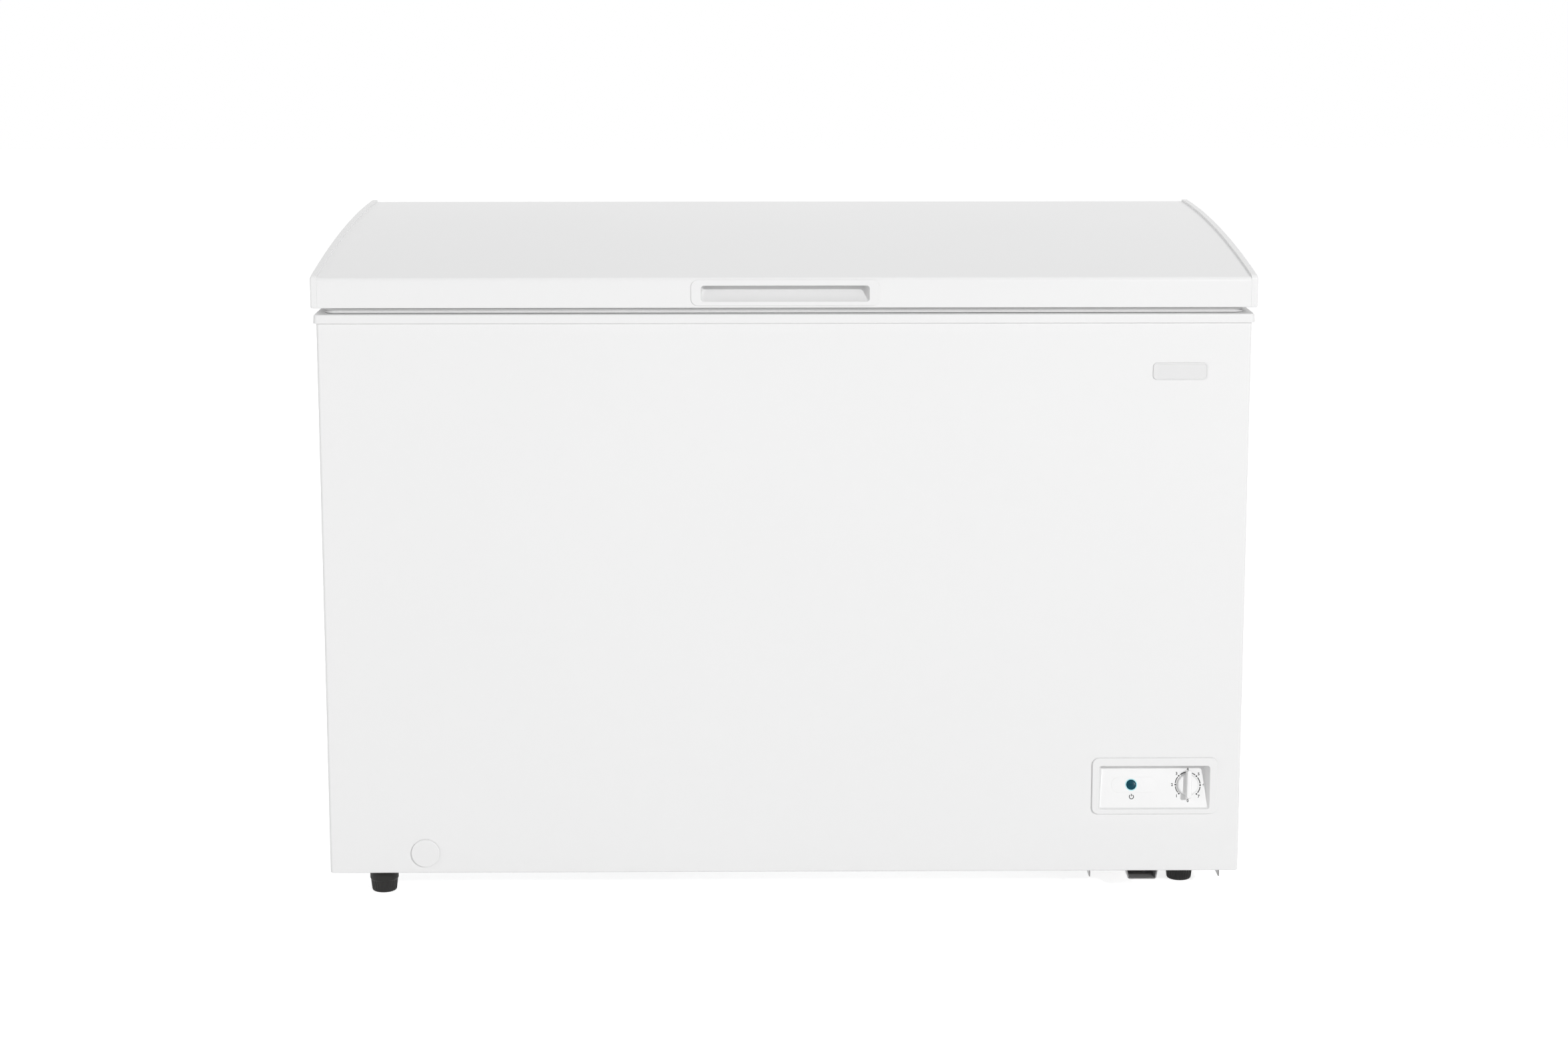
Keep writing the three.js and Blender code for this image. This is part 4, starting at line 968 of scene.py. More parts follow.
# ------------------
# Power lamp. A deep teal lens pressed into the panel in a paler translucent
# rim, which the lamp behind it lights from inside.
lens_centre = panel_spot(lamp_x, dial_centre[2] + 0.0004)
lens_glass = finish("lens_glass", even_coat, 0.00001, Colour=(0.001, 0.03, 0.055, 1.0),
                    Clouded_Colour=(0.001, 0.08, 0.11, 1.0), Roughness=0.18, Roughness_Spread=0.06,
                    Grain_Scale=900.0, Cloud_Scale=420.0, Specular_IOR_Level=0.15)
lens_profile = rounded_profile([
    (0.0, -0.0026), (0.0062, -0.0026), (0.0062, 0.0006), (0.005, 0.0013), (0.0, 0.0017)], 0.0005)
piece("lamp_lens", on_panel(turned(lens_profile, (0, 0, 0), (0, 0, 1)), lens_centre), lens_glass, "cabinet",
      ["indicator_lens"])
rim_glow = finish("rim_glow", even_coat, 0.00001, Colour=(0.5, 0.8, 0.84, 1.0),
                  Clouded_Colour=(0.38, 0.74, 0.8, 1.0), Roughness=0.3, Grain_Scale=900.0,
                  Cloud_Scale=400.0, Emission_Color=(0.3, 0.85, 0.95, 1.0), Emission_Strength=0.04)
rim_profile = rounded_profile([
    (0.0062, 0.0), (0.0062, 0.0007), (0.0069, 0.0006), (0.0075, 0.0), (0.0062, 0.0)], 0.0003, 3)
piece("lamp_rim", on_panel(turned(rim_profile, (0, 0, 0.0002), (0, 0, 1)), lens_centre), rim_glow,
      "cabinet")

# ------------------
# Thermostat knob. A white moulded disc with a tall narrow blade across it to
# turn it by; the blade leans a little clockwise of upright as it is set.
knob_disc = rounded_profile([
    (0.0, 0.0003), (0.0129, 0.0003), (0.013, 0.0038), (0.0118, 0.0054), (0.0, 0.0056)], 0.0009)
disc_points = on_panel(turned(knob_disc, (0, 0, 0), (0, 0, 1), 72))
blade_turn = math.radians(-3)
blade_half = (0.0031, 0.0175)
blade_foot = 0.004
blade_top = 0.015
blade_flare = 0.0003            # each side leans in by this from foot to middle, and again to the top
blade_in, blade_drop = rounding(0.0009, 4)
blade_outline = (-blade_half[0], blade_half[0], -blade_half[1], blade_half[1], 0.0028)
blade_rows = stacked(blade_outline, np.r_[-blade_flare, 0.0, blade_flare + blade_in],
                     np.r_[blade_foot, blade_foot + 0.003, blade_top - blade_drop])
blade_rows = np.vstack([centred(blade_rows[0]), blade_rows, centred(blade_rows[-1])])
along_blade, past_blade = math.cos(blade_turn), math.sin(blade_turn)
lean = np.array([[along_blade, past_blade, 0], [-past_blade, along_blade, 0], [0, 0, 1]])
blade_points = on_panel(blade_rows @ lean)
piece("thermostat_knob_moulding", [disc_points, blade_points], white_moulding, "knob",
      ["thermostat_knob"])

# ------------------
# Tank liner. Stucco-embossed aluminium sheet folded into a tub with one raised
# step over the compressor. Its rim is trapped under the collar, and it drains
# through a punched hole in the floor.
liner_low, liner_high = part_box("inner_liner")
liner_sheet = 0.0012
liner_fold = 0.003
tank_half = 0.5
tank_corner = 0.025
tank_near = front + 0.058
tank_far = front + 0.53
tank_floor = liner_low.z + liner_sheet
step_x = 0.31
step_height = 0.31
rim_reach = 0.012
floor_hole = (drain_centre[0], front + 0.09)
floor_hole_radius = 0.0065
floor_hole_steps = np.arange(-12, 13) * floor_hole_radius / 4
stucco_sockets = [
    ("Place", "Vector", None),
    ("Colour", "Color", COLOUR),
    ("Frosted Colour", "Color", COLOUR),
    ("Roughness", "Float", 0.35),
    ("Pebble Scale", "Float", 240.0),
]
# Stucco embossing: rounded pebbles with narrow valleys between, and soft bands where the rolling differs.
# The colour darkens towards the valleys as painted shade, and in the bands as the sheet's own tone.
stucco, given = effect("stucco", stucco_sockets)
pebble_sockets = {"Vector": given["Place"], "Scale": given["Pebble Scale"], "Smoothness": 0.35}
pebbles = node(stucco, "TexVoronoi", pebble_sockets, feature="SMOOTH_F1").outputs["Distance"]
rolled = noise_in(stucco, given["Place"], 6.0, 3.0)
valley = maths(stucco, "MULTIPLY", pebbles, 0.55)
# The darker second colour: painted shade towards the pebbles' valleys, plus the sheet's own tone in the
# rolled bands.
valley_shade_and_bands = maths(stucco, "ADD", valley, maths(stucco, "MULTIPLY", rolled, 0.5))
put_out(stucco, Colour=mixed(stucco, given["Colour"], given["Frosted Colour"], valley_shade_and_bands),
        Roughness=maths(stucco, "MULTIPLY_ADD", rolled, 0.14, given["Roughness"]),
        Height=maths(stucco, "SUBTRACT", 1.0, pebbles))
# Its second, darker grey is painted shade in the valleys and the sheet's own tone in the rolled bands.
stucco_aluminium = finish("stucco_aluminium", stucco, 0.0006, Colour=grey(0.84), Frosted_Colour=grey(0.66),
                          Roughness=0.36, Metallic=0.75)


def tub_plan(stations, grow=0.0):
    """The tank from above, its near side from left to right: a corner arc, straight stations, a corner arc.
    The far side mirrors it. Growing moves every point outwards."""
    quarter = np.linspace(0.0, np.pi / 2, 7)
    radius = tank_corner + grow
    arc_across = tank_corner - tank_half - radius * np.cos(quarter)
    arc_along = tank_near + tank_corner - radius * np.sin(quarter)
    across = np.r_[arc_across, stations, -arc_across[::-1]]
    near = np.r_[arc_along, np.full(len(stations), tank_near - grow), arc_along[::-1]]
    return across, near, tank_near + tank_far - near


tub_stations = np.r_[floor_hole[0] + floor_hole_steps, -0.3, -0.15, 0.0, 0.15, step_x]
tub_rows = []
for grow, height in ((rim_reach, liner_high.z), (0.0, liner_high.z), (0.0, step_height), (0.0, tank_floor)):
    across_tub, near_tub, far_tub = tub_plan(tub_stations, grow)
    tub_rows.append(grid(np.r_[across_tub, across_tub[::-1]], np.r_[near_tub, far_tub[::-1]], height))
tub_walls = np.stack(tub_rows)
closed_walls = np.concatenate([tub_walls, tub_walls[:, :1]], axis=1)
wall_cell = (closed_walls[:-1, :-1] + closed_walls[1:, 1:]) / 2
over_step = (wall_cell[..., 0] > step_x) & (wall_cell[..., 2] < step_height)
step_row = np.searchsorted(across_tub, step_x)
floor_across = np.insert(across_tub, step_row, step_x)[:, None]
floor_near = np.insert(near_tub, step_row, tank_near)[:, None]
floor_far = np.insert(far_tub, step_row, tank_far)[:, None]
floor_shares = np.r_[tank_far, floor_hole[1] + floor_hole_steps[::-1], tank_near] - tank_near
floor_shares /= tank_far - tank_near
floor_along = floor_near + (floor_far - floor_near) * floor_shares
floor_height = np.where(np.arange(len(floor_across)) > step_row, step_height, tank_floor)[:, None]
floor_across, floor_along, floor_ring = eased_circle(floor_across, floor_along, floor_hole,
                                                     floor_hole_radius, floor_hole_steps[-1])
ring_cell = np.maximum(floor_ring[:-1, :-1], floor_ring[1:, 1:])
floor_patch = patch(grid(floor_across, floor_along, floor_height), closed=False,
                    keep=ring_cell > floor_hole_radius + 1e-5)
piece("tank_liner", [patch(tub_walls, keep=~over_step), floor_patch], stucco_aluminium, "cabinet",
      ["inner_liner"], wall=liner_sheet, fold=liner_fold)

# ------------------
# Coils and foam. The evaporator is aluminium tube bonded round the tank, the
# condenser is black steel tube behind the wrap, and foam fills what is between.
drawn_aluminium = finish("drawn_aluminium", plated, 0.00001, Colour=grey(0.8), Dull_Colour=grey(0.66),
                         Roughness=0.3, Spangle_Scale=600.0, Metallic=1.0)
black_enamel = finish("black_enamel", even_coat, 0.00006, Colour=grey(0.02),
                      Clouded_Colour=grey(0.03, 0.04), Roughness=0.34, Roughness_Spread=0.12,
                      Grain_Scale=320.0, Cloud_Scale=18.0, Dust=0.5)
foam_skin = finish("foam_skin", even_coat, 0.0006, Colour=(0.8, 0.66, 0.36, 1.0),
                   Clouded_Colour=(0.7, 0.54, 0.26, 1.0), Roughness=0.85, Grain_Scale=260.0,
                   Cloud_Scale=14.0)
keep_node("evaporator_coil", drawn_aluminium)
keep_node("condenser_coil", black_enamel)
keep_node("cabinet_foam", foam_skin)

# ------------------
# Drain plug. A rubber bung pressed into the drain hole from inside the tank,
# with a flange that lies on the floor and a grip to pull it by.
black_rubber = finish("black_rubber", even_coat, 0.00005, Colour=grey(0.024), Clouded_Colour=grey(0.04),
                      Roughness=0.68, Roughness_Spread=0.12, Grain_Scale=1500.0, Cloud_Scale=50.0, Dust=0.3)
plug_place = (floor_hole[0], floor_hole[1], tank_floor)
plug_profile = rounded_profile([
    (0.0, -0.014), (0.004, -0.014), (0.005, -0.001), (0.005, 0.0003), (0.011, 0.0003), (0.011, 0.0028),
    (0.003, 0.004), (0.003, 0.0098), (0.006, 0.0118), (0.006, 0.014), (0.0, 0.015)], 0.001, 4)
piece("drain_bung", turned(plug_profile, plug_place, (0, 0, 1)), black_rubber, "inner_drain_plug",
      ["drain_plug"])

# ------------------
# Lid liner. White plastic sheet drawn into a shallow plug that dips into the
# tank. Two beads stiffen its face, and its flange lies in the lid skin's roll.
lining_low, lining_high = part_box("lid_liner")
lining_sheet = 0.0012
lining_flange = (lining_low.x, lining_high.x, lining_low.y, lining_high.y, 0.002)
lining_seat = lining_high.z - lining_sheet
lining_plug = (-0.488, 0.488, front + 0.07, front + 0.518, 0.024)
root_radius = 0.0035
nose_radius = 0.0065
plug_draft = 0.002
bead_width = 0.012
bead_height = 0.0013
bead_starts = (0.03, 0.085)     # how far in from the plug's side
quarter_turn = np.linspace(0.0, np.pi / 2, 6)
half_bead = np.linspace(0.0, np.pi, 9)
root_in = -root_radius * (1 - np.sin(quarter_turn))
root_rise = lining_seat - root_radius * (1 - np.cos(quarter_turn))
nose_in = plug_draft + nose_radius * (1 - np.cos(quarter_turn))
nose_rise = lining_low.z + nose_radius * (1 - np.sin(quarter_turn))
bead_in = np.concatenate([start + bead_width * half_bead / np.pi for start in bead_starts])
bead_rise = lining_low.z - bead_height * np.sin(np.tile(half_bead, 2)) ** 2
lining_rows = np.vstack([
    stacked(lining_flange, [0.0], [lining_seat], 8),
    stacked(lining_plug, np.r_[root_in, nose_in, bead_in, 0.15],
            np.r_[root_rise, nose_rise, bead_rise, lining_low.z], 8),
])
lining_rows = np.vstack([lining_rows, centred(lining_rows[-1])])[:, ::-1]
liner_plastic = finish("liner_plastic", even_coat, 0.00003, Colour=grey(0.82),
                       Clouded_Colour=grey(0.8, 0.004), Roughness=0.3, Grain_Scale=500.0, Cloud_Scale=3.0)
piece("lid_lining", lining_rows, liner_plastic, "lid", ["lid_liner"], wall=lining_sheet)

# ------------------
# Lid foam. Polyurethane foamed in place between the lining and the skin: it
# follows the plug below and the dome above, behind the handle's scoop.
foam_clear = 0.0004
foam_side = 0.0018              # how far the foam stays inside the lining's plug
core_low = lining_low.z + lining_sheet + foam_clear
core_seat = lining_high.z + foam_clear
core_outline = (skin_low.x + 0.002, skin_high.x - 0.002, handle_high.y + 0.003, skin_high.y - 0.002, 0.01)
core_nose_in, core_nose_drop = rounding(nose_radius + 0.0015, 5)
core_rows = np.vstack([
    stacked(lining_plug, plug_draft + foam_side + core_nose_in[::-1], core_low + core_nose_drop[::-1], 8),
    stacked(lining_plug, [foam_side, foam_side], [core_seat - 0.002, core_seat], 8),
    stacked(core_outline, [0.0, 0.0, 0.004], [core_seat, core_seat + 0.02, core_seat + 0.03], 8),
])
core_ceiling = dome_height(core_rows[-2:, :, 1]) - lid_sheet - foam_clear
core_rows[-2:, :, 2] = core_ceiling - np.array([[0.004], [0.0005]])
piece("lid_foam_core", core_rows, foam_skin, "lid", ["lid_foam"])

# ------------------
# Hanging basket. Round steel wires, welded where they cross and dipped in white
# plastic. Two long bars carry it on the collar's ledges.
basket_low, basket_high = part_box("wire_basket")
wire_radius = 0.002
wire_bend = 0.016
weld_bite = 0.0006
basket_left, basket_right = basket_low.x, basket_high.x
basket_near, basket_far = front + 0.08, front + 0.508
cross_wires = 8
cross_margin = 0.016
end_wires = 3
end_margin = 0.018
hoops = ((0.0033, basket_high.z - wire_radius), (0.0056, basket_low.z + 0.102))      # inset and height
wire_tip_drop = 0.003           # the wires end this far below the basket's top
hanger_inset = 0.007
hanger_tip = 0.0003             # the hanger bars stop this far inside the basket's box


def wire_along(path, across, radius, sides=10, ring=False):
    """A round wire along a path: at each point a circle square to the path. The wire's first side direction
    is square to the path and to a given direction that the path never runs along."""
    path = np.asarray(path, float)
    ahead = np.roll(path, -1, axis=0) - path if ring else np.diff(path, axis=0, append=path[-1:])
    behind = np.roll(ahead, 1, axis=0)
    if not ring:
        ahead[-1] = ahead[-2]
        behind[0] = ahead[0]
    tangent = ahead / np.linalg.norm(ahead, axis=1, keepdims=True)
    tangent += behind / np.linalg.norm(behind, axis=1, keepdims=True)
    tangent /= np.linalg.norm(tangent, axis=1, keepdims=True)
    first = np.cross(tangent, across)
    first /= np.linalg.norm(first, axis=1, keepdims=True)
    second = np.cross(tangent, first)
    turn = np.linspace(0.0, 2 * np.pi, sides, endpoint=False)[None, :, None]
    return path[:, None] + radius * (np.cos(turn) * first[:, None] + np.sin(turn) * second[:, None])


white_coating = finish("white_coating", even_coat, 0.0002, Colour=grey(0.84),
                       Clouded_Colour=grey(0.8, 0.004), Roughness=0.3, Grain_Scale=150.0, Cloud_Scale=25.0)
cross_low = basket_low.z + wire_radius
cross_wire_patches = []
for along in np.linspace(basket_near + cross_margin, basket_far - cross_margin, cross_wires):
    bow = rounded_profile([
        (basket_left + wire_radius, along, basket_high.z - wire_tip_drop),
        (basket_left + wire_radius, along, cross_low), (basket_right - wire_radius, along, cross_low),
        (basket_right - wire_radius, along, basket_high.z - wire_tip_drop)], wire_bend, 6)
    cross_wire_patches.append(wire_along(bow, (0, 1, 0), wire_radius))
piece("basket_cross_wires", cross_wire_patches, white_coating, "basket", ["wire_basket"])
long_low = cross_low + 2 * wire_radius - weld_bite
long_wire_patches = []
for across_basket in np.linspace(basket_left + end_margin, basket_right - end_margin, end_wires):
    bow = rounded_profile([
        (across_basket, basket_near + wire_radius, basket_high.z - wire_tip_drop),
        (across_basket, basket_near + wire_radius, long_low),
        (across_basket, basket_far - wire_radius, long_low),
        (across_basket, basket_far - wire_radius, basket_high.z - wire_tip_drop)], wire_bend, 6)
    long_wire_patches.append(wire_along(bow, (1, 0, 0), wire_radius))
piece("basket_long_wires", long_wire_patches, white_coating, "basket")
hoop_outline = (basket_left, basket_right, basket_near, basket_far, 0.018)
hoop_patches = []
for hoop_inset, hoop_height in hoops:
    hoop = stacked(hoop_outline, [hoop_inset], [hoop_height])[0]
    hoop_patches.append(patch(wire_along(hoop, (0, 0, 1), wire_radius, ring=True), ring=True))
piece("basket_hoops", hoop_patches, white_coating, "basket")
hanger_height = basket_high.z - 0.0034
hanger_patches = []
for across_basket in (basket_left + hanger_inset, basket_right - hanger_inset):
    bar = [(across_basket, along, hanger_height)
           for along in (basket_low.y + hanger_tip, basket_near, basket_far, basket_high.y - hanger_tip)]
    hanger_patches.append(wire_along(bar, (1, 0, 0), wire_radius))
piece("basket_hanger_bars", hanger_patches, white_coating, "basket")

# ------------------
# Basket grips. White mouldings snapped over the basket's end wires, each with
# a long shallow dish for the fingertips.
grip_dish = 0.0012
for end, faces_back in (("front", False), ("back", True)):
    grip_low, grip_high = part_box("basket_grip_" + end)
    grip_outline = front_outline(grip_low, grip_high, 0.005)
    grip_in, grip_drop = rounding(0.0012)
    depth = grip_high.y - grip_low.y
    grip_rows = np.vstack([
        stacked(grip_outline, grip_in[::-1], grip_drop[::-1]),
        stacked(grip_outline, grip_in, depth - grip_drop),
        stacked(grip_outline, [0.0045, 0.006], [depth, depth - grip_dish]),
    ])
    grip_points = upright(grip_rows)
    out = grip_points[..., 1].copy()
    grip_points[..., 1] = grip_low.y + out if faces_back else grip_high.y - out
    piece("basket_grip_moulding_" + end, grip_points, white_moulding, "basket",
          ["basket_grip_" + end])

# ------------------
# Floor pan and base plate. A zinc-coated pan closes the cabinet's underside.
# The base plate under the compressor has turned-down edges and a stiffening
# channel along its middle, and carries the right pair of feet.
base_low, base_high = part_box("compressor_base_plate")
base_sheet = 0.0016
base_bend = 0.0018
base_drop = 0.014
channel_left, channel_right = 0.425, 0.463
channel_slant = 0.0027
channel_drop = base_high.z - base_low.z - base_sheet
keep_node("bottom_panel", zinc_plate)
base_side = rounded_profile([
    (base_low.x, base_high.z - base_drop), (base_low.x, base_high.z), (channel_left, base_high.z),
    (channel_left + channel_slant, base_high.z - channel_drop),
    (channel_right - channel_slant, base_high.z - channel_drop), (channel_right, base_high.z),
    (base_high.x, base_high.z), (base_high.x, base_high.z - base_drop)], base_bend)
base_along = np.array([base_low.y, (base_low.y + base_high.y) / 2, base_high.y])
base_points = grid(base_side[:, 0], base_along[:, None], base_side[:, 1])
galvanised = finish("galvanised", plated, 0.00002, Colour=grey(0.68), Dull_Colour=grey(0.57),
                    Roughness=0.36, Spangle_Scale=105.0, Dust=0.15, Metallic=0.6)
piece("compressor_tray", patch(base_points, closed=False), galvanised, "cabinet",
      ["compressor_base_plate"], wall=base_sheet)


def screw_head(centre, axis, width, height, steps=24):
    """A washer-faced hexagon head: rings that are round at its foot and six-sided above, and a flat top.
    A six-sided ring's radius is the cosine of 30 degrees over that of the angle from its side's middle."""
    axis = Vector(axis).normalized()
    side = np.array(axis.orthogonal().normalized())
    other = np.cross(np.array(axis), side)
    turn = np.linspace(0.0, 2 * np.pi, steps, endpoint=False)
    flat = math.cos(np.pi / 6) / np.cos(turn % (np.pi / 3) - np.pi / 6)
    radius, rise, sixth = np.array([
        (0.68, 0.0, 0.0), (0.68, 0.15, 0.0), (0.62, 0.24, 0.0), (0.5, 0.26, 1.0), (0.5, 0.85, 1.0),
        (0.44, 1.0, 0.8)]).T
    reach = width * radius[:, None] * (1 + sixth[:, None] * (flat - 1))
    around = np.cos(turn)[:, None] * side + np.sin(turn)[:, None] * other
    return np.array(centre) + height * rise[:, None, None] * np.array(axis) + reach[..., None] * around


nut_width = 0.015
nut_height = 0.0052
pan_underside = 0.0396
foot_nuts = []
for place in foot_places:
    stud_low, stud_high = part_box("foot_stud_" + place)
    nut_seat = pan_underside if "left" in place else base_high.z - base_sheet
    nut_centre = ((stud_low.x + stud_high.x) / 2, (stud_low.y + stud_high.y) / 2, nut_seat)
    foot_nuts.append(screw_head(nut_centre, (0, 0, -1), nut_width, nut_height))
piece("foot_lock_nuts", foot_nuts, bright_plate, "cabinet")

# ------------------
# Compressor. A drawn steel can with a welded seam, enamelled black, on a foot
# bracket that stands on four rubber grommets bolted to the base plate.
can_low, can_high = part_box("compressor")
can_centre = ((can_low.x + can_high.x) / 2, (can_low.y + can_high.y) / 2, can_low.z)
can_oval = 0.88
foot_half = (0.06, 0.1)
foot_sheet = 0.003
grommet_reach = (0.048, 0.088)
mount_bolt = (0.012, 0.005)     # width and height of its head
can_profile = rounded_profile([
    (0.0, 0.004), (0.044, 0.004), (0.064, 0.018), (0.07, 0.04), (0.07, 0.08), (0.073, 0.08),
    (0.073, 0.084), (0.07, 0.084), (0.069, 0.118), (0.06, 0.142), (0.036, 0.156), (0.0, 0.16)], 0.01, 5)
can_points = turned(can_profile, can_centre, (0, 0, 1), 56)
can_points[..., 0] = can_centre[0] + (can_points[..., 0] - can_centre[0]) * can_oval
foot_rim_in, foot_rim_drop = rounding(0.0008, 2)
foot_outline = (can_centre[0] - foot_half[0], can_centre[0] + foot_half[0], can_centre[1] - foot_half[1],
                can_centre[1] + foot_half[1], 0.014)
foot_plate = stacked(foot_outline, np.r_[foot_rim_in[::-1], foot_rim_in],
                     can_low.z + np.r_[foot_rim_drop[::-1], foot_sheet - foot_rim_drop])
piece("compressor_can", [can_points, foot_plate], black_enamel, "cabinet", ["compressor"])
rubber_profile = rounded_profile([
    (0.003, 0.0), (0.01, 0.0), (0.01, 0.004), (0.007, 0.006), (0.01, 0.008), (0.01, 0.012),
    (0.003, 0.012), (0.003, 0.0)], 0.0012)
mount_bolts = []
for place, across_sign, along_sign in (("front_left", -1, -1), ("front_right", 1, -1), ("rear_left", -1, 1),
                                       ("rear_right", 1, 1)):
    rubber_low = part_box("grommet_" + place)[0]
    rubber_x = can_centre[0] + across_sign * grommet_reach[0]
    rubber_y = can_centre[1] + along_sign * grommet_reach[1]
    rubber_points = turned(rubber_profile, (rubber_x, rubber_y, rubber_low.z), (0, 0, 1))
    piece("grommet_bush_" + place, rubber_points, black_rubber, "cabinet", ["grommet_" + place])
    mount_bolts.append(screw_head((rubber_x, rubber_y, can_low.z + foot_sheet), (0, 0, 1), *mount_bolt))
piece("compressor_mount_bolts", mount_bolts, bright_plate, "cabinet")

# ------------------
# Terminal cover. A black moulded box clipped over the compressor's terminals
# and start relay, with a slightly sunk panel in its face.
terminal_low, terminal_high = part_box("compressor_terminal_cover")
terminal_border = 0.008
terminal_sink = 0.001
terminal_outline = front_outline(terminal_low, terminal_high, 0.005)
terminal_in, terminal_drop = rounding(0.003, 4)
terminal_face = terminal_high.y
terminal_rows = upright(stacked(
    terminal_outline, np.r_[0.0, terminal_in, terminal_border, terminal_border + 0.0008],
    np.r_[terminal_low.y, terminal_face - terminal_drop, terminal_face, terminal_face - terminal_sink]))
piece("terminal_cover_moulding", terminal_rows, black_moulding, "cabinet",
      ["compressor_terminal_cover"])

# ------------------
# Refrigerant pipes and filter drier. Soft copper tube bent by hand and brazed
# to a copper drier, which dries the refrigerant on its way to the evaporator.
soft_copper = finish("soft_copper", plated, 0.00002, Colour=(0.78, 0.36, 0.2, 1.0),
                     Dull_Colour=(0.52, 0.22, 0.12, 1.0), Roughness=0.32, Spangle_Scale=60.0, Dust=0.25,
                     Metallic=1.0)
drier_low, drier_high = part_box("filter_drier")
drier_spot = ((drier_low.x + drier_high.x) / 2, (drier_low.y + drier_high.y) / 2, drier_low.z)
drier_profile = rounded_profile([
    (0.0, 0.0), (0.0025, 0.0), (0.0025, 0.008), (0.009, 0.018), (0.009, 0.088), (0.0025, 0.098),
    (0.0025, 0.106), (0.0, 0.106)], 0.003)
piece("drier_can", turned(drier_profile, drier_spot, (0, 0, 1), 32), soft_copper, "cabinet",
      ["filter_drier"])
space_left = 0.3725
suction_radius = 0.004
discharge_radius = 0.0025
oblique = (0.45, 0.65, 0.61)
suction_route = rounded_profile([
    (space_left, front + 0.3, 0.215), (0.418, front + 0.3, 0.215), (0.436, front + 0.318, 0.15),
    (0.448, front + 0.336, 0.128)], 0.022, 8)
piece("suction_tube", wire_along(suction_route, oblique, suction_radius, 14), soft_copper, "cabinet",
      ["suction_pipe"])
discharge_route = rounded_profile([
    (drier_spot[0], drier_spot[1], drier_high.z), (drier_spot[0], drier_spot[1], 0.205),
    (0.45, front + 0.28, 0.208), (0.502, front + 0.31, 0.175), (0.5, front + 0.345, 0.108)], 0.022, 8)
piece("discharge_tube", wire_along(discharge_route, oblique, discharge_radius, 12), soft_copper, "cabinet",
      ["discharge_pipe"])

# ------------------
# Side vent grille. A white moulding pressed into the wrap's right side, with
# blades that slope down and outwards over the compressor space.
vent_low, vent_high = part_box("side_vent_grille")
vent_outline = (vent_low.y, vent_high.y, vent_low.z, vent_high.z, 0.006)
vent_border = 0.014
vent_shoulder = 0.005
vent_mouth = (vent_low.y + vent_border, vent_high.y - vent_border, 0.081, 0.18, 0.002)
vent_collar = (vent_low.y + vent_shoulder, vent_high.y - vent_shoulder, vent_low.z + vent_shoulder,
               vent_high.z - vent_shoulder, 0.004)
vent_seat = wrap_high.x + touch_gap


def facing_right(points):
    """Points laid out flat by depth and height, stood up: their third value becomes their X."""
    return points[..., [2, 0, 1]]


vent_in, vent_drop = rounding(0.0012)
vent_mouth_in, vent_mouth_drop = rounding(0.0006, 2)
vent_rows = facing_right(np.vstack([
    stacked(vent_outline, np.r_[0.0, vent_in], np.r_[vent_seat, vent_high.x - vent_drop]),
    stacked(vent_mouth, -vent_mouth_in[::-1], vent_high.x - vent_mouth_drop[::-1]),
    stacked(vent_mouth, [0.0], [vent_low.x]),
    stacked(vent_collar, [0.0, 0.0], [vent_low.x, vent_seat]),
]))
vent_patches = [patch(vent_rows, ring=True)]
blade_count = 9
blade_slope = math.radians(38)
blade_depth = 0.0088
blade_wall = 0.0017
mullion_half = 0.0011
blade_side = rounded_profile([
    (0.0, -0.5), (0.5, -0.5), (0.5, 0.5), (-0.5, 0.5), (-0.5, -0.5), (0.0, -0.5)], 0.08, 2)
blade_side = (blade_side[:-1] * (blade_depth, blade_wall)) @ np.array([
    [math.cos(blade_slope), -math.sin(blade_slope)], [math.sin(blade_slope), math.cos(blade_slope)]])
blade_x = vent_high.x - 0.0045
blade_ends = [[vent_mouth[0] - 0.0005], [vent_mouth[1] + 0.0005]]
for height in np.linspace(vent_mouth[2] + 0.006, vent_mouth[3] - 0.006, blade_count):
    vent_patches.append(grid(blade_x + blade_side[:, 0], blade_ends, height + blade_side[:, 1]))
for along in np.linspace(vent_mouth[0], vent_mouth[1], 5)[1:-1]:
    mullion = (along - mullion_half, along + mullion_half, vent_mouth[2] - 0.0005, vent_mouth[3] + 0.0005,
               0.0003)
    mullion_places = [vent_low.x + 0.0004, vent_high.x - 0.0009, vent_high.x - 0.0006]
    vent_patches.append(facing_right(stacked(mullion, [0.0, 0.0, 0.0003], mullion_places, 1)))
piece("side_vent_moulding", vent_patches, white_moulding, "cabinet", ["side_vent_grille"])

# ------------------
# Back panel. Zinc-coated sheet laid flat across the cabinet's back and cut
# away over the compressor space, with a raised bead that keeps it from drumming.
back_low, back_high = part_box("back_panel")
back_sheet = 0.001
cutaway_x = 0.371
cutaway_height = 0.25
bead_frame = (-0.5, 0.3, 0.11, 0.57)
bead_corner = 0.03
bead_half = 0.007
bead_rise = 0.0024
bead_lines = np.arange(-8, 9) * 0.0035


def bead(across, up):
    """How far the bead stands out at each place: half a wave across the line of a rounded rectangle.
    The distance to that line is that of a rectangle drawn in by its corner radius, less the radius."""
    half_across = (bead_frame[1] - bead_frame[0]) / 2
    half_up = (bead_frame[3] - bead_frame[2]) / 2
    out_across = np.abs(across - (bead_frame[0] + bead_frame[1]) / 2) - half_across + bead_corner
    out_up = np.abs(up - (bead_frame[2] + bead_frame[3]) / 2) - half_up + bead_corner
    away = np.hypot(np.maximum(out_across, 0), np.maximum(out_up, 0)) - bead_corner
    away += np.minimum(np.maximum(out_across, out_up), 0)
    return bead_rise * (0.5 + 0.5 * np.cos(np.pi * np.clip(away / bead_half, -1, 1)))


